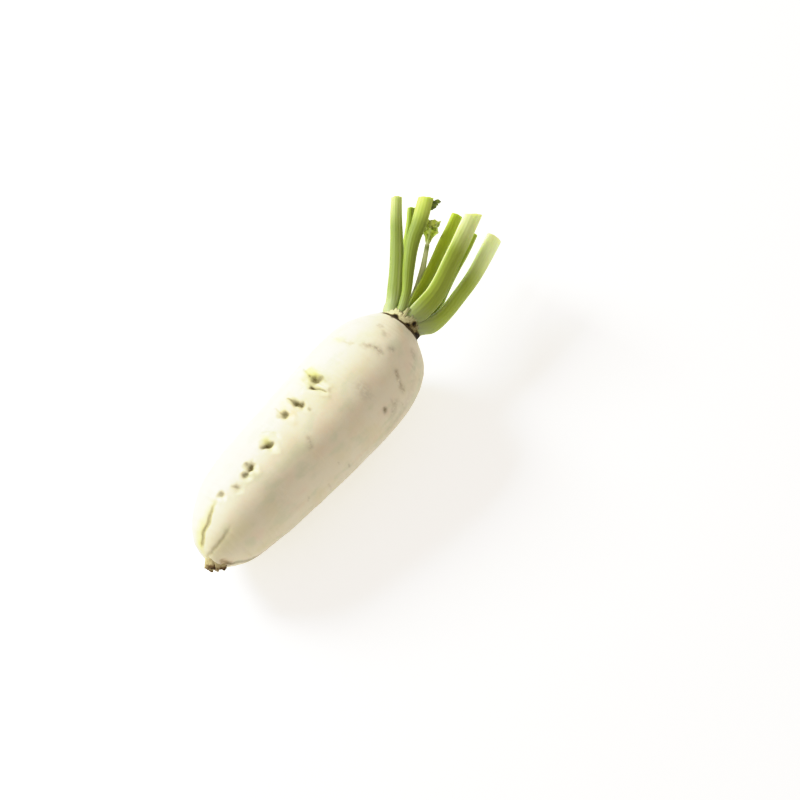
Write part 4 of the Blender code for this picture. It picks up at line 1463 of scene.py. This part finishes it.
@dataclass
class Rag:
    """A torn rag of leaf on the edge of a stalk: a ruffled strip that leaves it forwards and curls back.

    Attributes:
        shape: The stalk's shape.
        crown: The crown that the stalk grows from.
        node: The stalk's CAD node.
        share: Where it leaves the stalk, as a share of the stalk's length.
        length: Its length.
        width: Its width at the stalk.
        splay: How far it spreads aside, as a share of how far it goes forwards.
        sunk: How deep its foot is in the stalk.
        thickness: Its thickness.
        rings: Rings of its grid.
        columns: Points on each ring.
        seed: The start of the random draws.
        finish: Its finish.
    """

    shape: StalkShape
    crown: Crown
    node: str
    share: float = 0.93
    length: float = 9.6
    width: float = 7.8
    splay: float = 0.55
    sunk: float = 2.4
    thickness: float = 0.9
    rings: int = 40
    columns: int = 32
    seed: int = 3
    finish: LeafFinish = LeafFinish(
        "torn_leaf", light=(0.12, 0.17, 0.012), deep=(0.03, 0.055, 0.003), vein=(0.16, 0.22, 0.03),
        fringe=(0.12, 0.16, 0.02),
    )

    def mesh(self) -> bpy.types.Mesh:
        """The rag's mesh: a flat oval section carried out from the stalk, narrower and ruffled at its end.

        Returns:
            The mesh.
        """
        draw = np.random.default_rng(self.seed)
        line = self.shape.line(STALK_RINGS)
        i = round(self.share * (len(line) - 1))
        across, back, ahead = (axis[i] for axis in self.shape.axes(line))
        start = line[i] + across * (float(self.shape.width(self.share)) / 2 - self.sunk)
        heading = unit(ahead + across * self.splay)
        sideways = unit(across - ahead * self.splay)
        t, turn = steps(self.rings), turns(self.columns)
        side = np.cos(turn)
        edge = 1 + 0.22 * waves((t, turn / (2 * math.pi)), (7, 2), 12, draw) * t
        half = self.width / 2 * (1 - 0.7 * t**2) * side * edge
        ruffle = 0.8 * np.sin(9.0 * t + 2.0 * side) * side**2 * t
        curl = -0.2 * self.length * t**2
        depth = curl + ruffle + self.thickness / 2 * np.sin(turn) * (1 - 0.4 * side**2)
        along = self.length * t + 0 * side
        points = start + heading * along[..., None] + sideways * (self.sunk * t + half)[..., None]
        points = points + back * depth[..., None]
        marks = {
            "blade": np.ones_like(half), "edge": np.abs(side) + 0 * t, "rib": 0.5 * bell(side + 0 * t, 0.16),
            "own_place": points_of(half, depth, along),
        }
        return shell_mesh("leaf_rag", Shell(self.crown.place(points), marks))

    def build(self) -> None:
        """Adds the rag to the scene."""
        add_piece(self.mesh(), self.finish.material(), "young_green", self.node)


@dataclass
class YoungLeaf:
    """The youngest leaf: a thin stalk that runs on into a lobed, ruffled blade, rolled over at its tip.

    Attributes:
        crown: The crown that it grows from.
        shape: The shape of its stalk.
        length: The blade's length.
        width: The blade's width.
        thickness: The blade's thickness.
        curl: How far the blade's line turns towards its back in all, in degrees.
        lobes: How many lobes the blade has.
        stem_rings: Rings of the stalk's grid.
        blade_rings: Rings of the blade's grid.
        columns: Points on each ring.
        stem_place: How far own_place runs along the stalk.
        seed: The start of the random draws.
        finish: Its finish.
    """

    crown: Crown
    shape: StalkShape = StalkShape(
        path=(
            (0, 4.2, -3.2), (12.1, 5.0, -2.6), (21.3, 5.8, -2.0), (29.2, 7.8, -1.0), (37.8, 11.0, 0.4),
            (46.8, 15.2, 2.0), (59.2, 21.6, 4.5),
        ),
        backs=(150.0, 190.0),
        sizes=((0, 4.6, 3.6), (0.3, 5.6, 3.8), (0.6, 5.2, 3.6), (0.85, 3.8, 3.2), (1, 3.4, 2.8)),
        slant=0.0,
        sheath=(150.0, 4.0, 5.0, 3.0),
    )
    length: float = 36.0
    width: float = 9.5
    thickness: float = 1.0
    curl: float = -300.0
    lobes: float = 3.5
    stem_rings: int = 70
    blade_rings: int = 130
    columns: int = 44
    stem_place: float = 60.0
    seed: int = 23
    finish: LeafFinish = LeafFinish("youngest_leaf")

    def mesh(self) -> bpy.types.Mesh:
        """The leaf's mesh, in rings.

        The stalk's rings are ovals. The blade's line turns towards its back by the curl times t to the power
        2.6, and its rings are flat ovals, whose width is a sine over t with waves for the lobes. The edges
        are ruffled by a sine, and the rib is a bell in the middle.

        Returns:
            The mesh.
        """
        draw = np.random.default_rng(self.seed)
        turn = turns(self.columns)
        line = self.shape.line(self.stem_rings)
        across, back, ahead = self.shape.axes(line)
        share = steps(self.stem_rings)
        side = np.cos(turn) * self.shape.width(share) / 2
        depth = np.sin(turn) * self.shape.thickness(share) / 2
        stem = line[:, None] + across[:, None] * side[..., None] + back[:, None] * depth[..., None]
        stem_own = points_of(side, depth, self.stem_place * share)

        t = (np.arange(1, self.blade_rings + 1) / self.blade_rings)[:, None]
        bent = math.radians(self.curl) * t**2.6
        heading = ahead[-1] * np.cos(bent) + back[-1] * np.sin(bent)
        face = back[-1] * np.cos(bent) - ahead[-1] * np.sin(bent)
        middle = line[-1] + np.cumsum(heading * self.length / len(t) * (1 - 0.45 * t), axis=0)
        lobes = 1 + 0.28 * np.cos(2 * math.pi * self.lobes * t) + 0.06 * waves((t,), (16,), 10, draw)
        wide = 2.6 + self.width * np.sin(math.pi * np.minimum(t, 0.96)) ** 0.8 * lobes * fade(t, -0.1, 0.22)
        thick = np.maximum(self.thickness, 2.6 * (1 - 3 * t))
        edge = np.abs(np.cos(turn))
        rib = bell(np.cos(turn) + 0 * t, 0.18) * (1 - 0.5 * t)
        ruffle = 1.5 * np.sin(26 * t + 1.6 * np.sign(np.cos(turn))) * edge**3 * fade(t, 0.08, 0.3)
        ruffle = ruffle + 0.9 * waves((t, (np.cos(turn) + 1) / 2), (8, 3), 14, draw) * fade(t, 0.05, 0.3)
        half = np.cos(turn) * wide / 2
        deep = np.sin(turn) * (thick / 2 + 0.45 * rib) + ruffle
        blade = middle[:, None] + across[-1] * half[..., None] + face[:, None] * deep[..., None]
        blade_own = points_of(half, deep, self.stem_place + self.length * t)
        marks = {
            "knot": np.concatenate([bell(share - 0.965, 0.035) + 0 * side, 0 * half]),
            "blade": np.concatenate([0 * side, fade(t, 0.0, 0.12) + 0 * turn]),
            "edge": np.concatenate([0 * side, edge + 0 * t]),
            "rib": np.concatenate([0 * side, rib]),
            "own_place": np.concatenate([stem_own, blade_own]),
        }
        rings = self.crown.place(np.concatenate([stem, blade]))
        return shell_mesh("young_leaf_skin", Shell(rings, marks))

    def build(self) -> None:
        """Adds the leaf to the scene."""
        add_piece(self.mesh(), self.finish.material(), "young_green", "young_leaf")


# The shapes and finishes of leaf_stalk_1 to leaf_stalk_7, in that order.
STALK_SHAPES = (
    StalkShape(
        path=(
            (0, 10.0, 3.4), (6, 13.4, 3.2), (17, 19.4, 3.8), (32, 29.2, 6.0), (46.5, 40.5, 8.5),
            (60.7, 51.9, 11.0), (70.3, 59.0, 12.5),
        ),
        backs=(68.0, 70.0),
        sizes=(
            (0, 9.5, 7.0), (0.2, 12.0, 11.0), (0.45, 11.2, 10.6), (0.7, 9.6, 9.4), (0.9, 8.8, 8.6),
            (1, 8.2, 8.0),
        ),
        slant=6.0,
        sheath=(71.0, 16.0, 13.2, 12.0),
    ),
    StalkShape(
        path=(
            (0, 7.4, -6.9), (12.7, 12.6, -7.4), (29.1, 20.9, -6.4), (48.8, 30.8, -5.2),
            (66.6, 40.0, -4.4), (77.6, 46.8, -4.0),
        ),
        backs=(132.0, 140.0),
        sizes=(
            (0, 8.2, 5.6), (0.3, 8.2, 6.4), (1, 7.6, 6.0),
        ),
        slant=-10.0,
        sheath=(132.0, 11.5, 12.0, 12.0),
    ),
    StalkShape(
        path=(
            (0, 5.4, 8.6), (7.2, 7.4, 10.4), (19.3, 12.6, 12.6), (31.5, 20.4, 14.2), (42.0, 26.7, 15.6),
            (52.3, 31.7, 16.8), (63.5, 35.1, 18.2), (80.6, 42.2, 20.0),
        ),
        backs=(34.0, 16.0),
        sizes=(
            (0, 7.0, 5.6), (0.15, 6.8, 6.0), (0.35, 7.8, 6.8), (0.55, 9.6, 7.2), (0.8, 11.2, 7.4),
            (1, 11.0, 7.6),
        ),
        slant=10.0,
        sheath=(22.0, 8.0, 11.0, 9.0),
    ),
    StalkShape(
        path=(
            (0, -3.2, 10.0), (9.0, -3.2, 11.4), (21.7, -4.3, 13.0), (30.0, -4.5, 14.0),
            (39.0, -3.3, 15.0), (49.0, -1.1, 15.8), (59.5, 1.1, 16.6), (72.8, 3.9, 17.6),
            (93.2, 8.5, 18.9),
        ),
        backs=(-13.0, -20.0),
        sizes=(
            (0, 12.0, 5.6), (0.15, 14.4, 6.6), (0.33, 14.2, 6.8), (0.5, 13.4, 7.0), (0.75, 13.2, 7.2),
            (1, 12.8, 7.6),
        ),
        slant=25.0,
        sheath=(-18.0, 13.6, 11.2, 14.0),
    ),
    StalkShape(
        path=(
            (0, -9.0, 4.7), (7.2, -12.4, 3.8), (16.4, -16.6, 3.2), (28.8, -18.6, 3.0), (43.0, -18.7, 3.4),
            (57.7, -18.4, 3.8), (69.1, -17.3, 4.2), (80.0, -15.6, 4.6), (94.0, -13.2, 5.0),
        ),
        backs=(-63.0, -42.0),
        sizes=(
            (0, 10.0, 6.0), (0.12, 13.6, 9.0), (0.35, 12.8, 9.4), (0.8, 13.6, 9.6), (1, 14.2, 9.6),
        ),
        slant=2.0,
        sheath=(-64.0, 19.0, 12.2, 14.0),
    ),
    StalkShape(
        path=(
            (0, -8.7, -5.0), (13.0, -10.0, -7.6), (28.7, -9.6, -10.0), (42.7, -7.4, -12.0),
            (54.8, -5.2, -13.4), (64.1, -3.8, -14.4), (77.8, -1.7, -15.8), (94.0, 1.5, -17.6),
        ),
        backs=(-120.0, -150.0),
        sizes=(
            (0, 8.2, 5.6), (0.15, 13.4, 7.0), (0.32, 12.4, 7.0), (0.5, 10.0, 6.6), (1, 9.0, 6.8),
        ),
        slant=-14.0,
        sheath=(-124.0, 13.0, 11.6, 12.0),
    ),
    StalkShape(
        path=(
            (0, 0.4, 2.8), (12.6, 3.1, 3.0), (25.6, 4.8, 3.0), (36.0, 6.1, 3.0), (46.7, 7.9, 3.1),
            (56.9, 10.1, 3.2), (68.0, 12.7, 3.5), (79.9, 14.9, 3.8), (90.8, 17.8, 4.0),
        ),
        backs=(-60.0, -30.0),
        sizes=(
            (0, 5.4, 5.2), (0.25, 9.2, 5.8), (0.5, 11.2, 6.2), (0.75, 10.6, 6.4), (1, 9.2, 6.6),
        ),
        slant=5.0,
        sheath=(8.0, 6.0, 3.0, 3.0),
    ),
)
# Each stalk's greens have their own brightness as painted light and shade: stalks 1 and 3, which the key
# light strikes fully, are darker, and stalks 5, 6 and 7, which lie in the others' shade, are lighter. Stalk
# 1's flank is lighter than its back, as painted light on its shaded side. The long pale tops of stalks 4 and
# 5 and stalk 4's bright ridge are partly their own colour and partly painted highlight.
STALK_FINISHES = (
    StalkFinish(
        "stalk_1_green", flank=(0.22, 0.29, 0.03), back=(0.19, 0.245, 0.045), tip=(0.48, 0.55, 0.20),
        tip_blend=0.75,
    ),
    StalkFinish(
        "stalk_2_green", flank=(0.19, 0.26, 0.012), back=(0.27, 0.35, 0.02), ridge=(0.30, 0.38, 0.03),
        tip=(0.19, 0.25, 0.015), tip_blend=0.4,
    ),
    StalkFinish(
        "stalk_3_green", flank=(0.12, 0.165, 0.006), back=(0.18, 0.24, 0.024), ridge=(0.32, 0.40, 0.06),
        foot=(0.23, 0.28, 0.10), tip=(0.48, 0.58, 0.11), tip_blend=0.9,
    ),
    StalkFinish(
        "stalk_4_green", flank=(0.17, 0.23, 0.010), back=(0.25, 0.32, 0.035), ridge=(0.70, 0.78, 0.38),
        tip=(0.72, 0.80, 0.38), tip_blend=0.95, stretch=0.36,
    ),
    StalkFinish(
        "stalk_5_green", flank=(0.20, 0.28, 0.015), back=(0.30, 0.39, 0.05), tip=(0.76, 0.86, 0.46),
        pith=(0.74, 0.80, 0.56), tip_blend=1.0, stretch=0.46,
    ),
    StalkFinish(
        "stalk_6_green", flank=(0.19, 0.25, 0.012), back=(0.30, 0.38, 0.04), tip=(0.32, 0.40, 0.05),
        tip_blend=0.3,
    ),
    StalkFinish(
        "stalk_7_green", flank=(0.22, 0.29, 0.006), back=(0.36, 0.45, 0.02), ridge=(0.42, 0.50, 0.06),
        tip=(0.38, 0.47, 0.05), tip_blend=0.3,
    ),
)


@dataclass
class Eye:
    """The camera, and the picture's own directions, which the lights use too.

    Attributes:
        azimuth: Where it stands round the scene, in degrees: 0 looks along +Y.
        elevation: How far it looks down, in degrees.
        aim: The point in the middle of the picture, in metres.
        distance: How far it is from that point, in metres.
        lens: Its focal length in millimetres, with a picture 36 mm wide.
    """

    azimuth: float = -54.14
    elevation: float = 64.81
    aim: Triple = (0.05042, -0.03293, 0.040)
    distance: float = 1.3179
    lens: float = 85.0

    def axes(self) -> tuple[Vector, Vector, Vector]:
        """The picture's own directions.

        Returns:
            Its right, its up and its back, which is towards the camera, in the scene.
        """
        a, e = math.radians(self.azimuth), math.radians(self.elevation)
        right = Vector((math.cos(a), math.sin(a), 0.0))
        back = Vector((math.sin(a) * math.cos(e), -math.cos(a) * math.cos(e), math.sin(e)))
        return right, back.cross(right), back

    def stand(self, thing: bpy.types.Object, direction: Triple, distance: float) -> None:
        """Stands a camera or a lamp off the point in the middle of the picture, facing it.

        Args:
            thing: The camera or the lamp.
            direction: Where it stands, in the picture's right, up and back.
            distance: How far it is, in metres.
        """
        right, up, back = (axis * share for axis, share in zip(self.axes(), direction, strict=True))
        toward = (right + up + back).normalized()
        thing.location = Vector(self.aim) + toward * distance
        thing.rotation_mode = "QUATERNION"
        thing.rotation_quaternion = toward.to_track_quat("Z", "Y")

    def build(self) -> None:
        """Adds the camera."""
        data = bpy.data.cameras.new("camera")
        data.lens = self.lens
        data.sensor_width = 36.0
        data.clip_start = 0.05
        camera = add_object("camera", data)
        self.stand(camera, (0.0, 0.0, 1.0), self.distance)
        bpy.context.scene.camera = camera
        log.info("camera: %.0f mm, %.1f degrees round, %.1f down", self.lens, self.azimuth, self.elevation)


@dataclass(frozen=True)
class Lamp:
    """A soft square light that faces the turnip.

    Attributes:
        name: Its name.
        direction: Where it stands, in the picture's right, up and back.
        distance: How far it is, in metres.
        size: Its side, in metres.
        power: Its power, in watts.
        colour: Its colour.
    """

    name: str
    direction: Triple
    distance: float
    size: float
    power: float
    colour: Colour

    def build(self, eye: Eye) -> None:
        """Adds the light.

        Args:
            eye: The camera, whose picture the light's direction is given in.
        """
        data = bpy.data.lights.new(self.name, "AREA")
        data.size = self.size
        data.energy = self.power
        data.color = self.colour
        lamp = add_object(self.name, data)
        eye.stand(lamp, self.direction, self.distance)
        lamp.visible_camera = False
        log.info("%s: %.0f W", self.name, self.power)


@dataclass(frozen=True)
class Film:
    """How the picture takes bright light: straight up to the mid tones, then in a soft shoulder up to white.

    Attributes:
        white: The brightness that comes out white.
        shoulder: Shares of that brightness, and how bright they come out.
    """

    white: float = 1.45
    shoulder: Rows = ((0.29, 0.42), (0.48, 0.70), (0.62, 0.865), (0.80, 0.95))

    def build(self) -> None:
        """Sets the scene's view: the standard one, through a curve on all three colours."""
        view = bpy.context.scene.view_settings
        view.view_transform = "Standard"
        view.use_curve_mapping = True
        mapping = view.curve_mapping
        mapping.white_level = (self.white,) * 3
        curve = mapping.curves[3]
        for share, level in self.shoulder:
            curve.points.new(share, level)
        mapping.update()


@dataclass
class Studio:
    """The plain pale floor, the even light of the room, and the lights.

    Attributes:
        eye: The camera.
        floor_size: The floor's side, in metres.
        floor_height: How high it is, in metres: a little below the root's flat spot.
        floor_colour: Its colour.
        floor_glow: How strongly it glows of itself.
        room_colour: The colour of the room's light.
        room_strength: How strong that light is.
        lamps: The lights.
    """

    eye: Eye
    floor_size: float = 8.0
    floor_height: float = -0.0002
    floor_colour: Colour = (0.90, 0.90, 0.90)
    floor_glow: float = 0.36
    room_colour: Colour = (1.0, 0.89, 0.79)
    room_strength: float = 0.72
    lamps: Sequence[Lamp] = (
        Lamp("key", (-0.763, 0.584, 0.276), 1.5, 0.5, 36.0, (0.95, 0.985, 0.94)),
    )

    def build(self) -> None:
        """Adds the floor, the room's light and the lamps."""
        half = self.floor_size / 2
        mesh = bpy.data.meshes.new("floor")
        edge = ((-half, -half), (half, -half), (half, half), (-half, half))
        mesh.from_pydata([(x, y, self.floor_height) for x, y in edge], [], [(0, 1, 2, 3)])
        graph = ShaderGraph("floor_paint")
        spots = graph.node("ShaderNodeTexCoord", {}, {}).outputs["Object"]
        clouds = graph.noise(spots, 2.0)
        clouded = tuple(0.98 * c for c in self.floor_colour)
        colour = graph.layered(self.floor_colour, (clouded, clouds))
        fixed = {
            "Specular IOR Level": 0.1,
            "Emission Color": (1.0, 1.0, 1.0, 1.0),
            "Emission Strength": self.floor_glow,
        }
        mesh.materials.append(graph.finish(colour, 0.85 + 0.05 * clouds, clouds, 0.01, fixed))
        add_object("floor", mesh)
        world = bpy.data.worlds.new("room")
        world.use_nodes = True
        light = world.node_tree.nodes["Background"]
        light.inputs["Color"].default_value = (*self.room_colour, 1.0)
        light.inputs["Strength"].default_value = self.room_strength
        bpy.context.scene.world = world
        for lamp in self.lamps:
            lamp.build(self.eye)


def main() -> None:
    """Builds the dressed turnip, its camera and its light."""
    logging.basicConfig(level=logging.INFO, format="%(name)s: %(message)s")
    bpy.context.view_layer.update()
    root = Root()
    crown = Crown(root)
    root.build()
    crown.build()
    for i, (shape, finish) in enumerate(zip(STALK_SHAPES, STALK_FINISHES, strict=True), start=1):
        Stalk(f"leaf_stalk_{i}", shape, crown, finish, seed=STALK_SEED + i).build()
    Rag(STALK_SHAPES[2], crown, "leaf_stalk_3").build()
    YoungLeaf(crown).build()
    eye = Eye()
    eye.build()
    Studio(eye).build()
    Film().build()


if __name__ == "__main__":
    main()
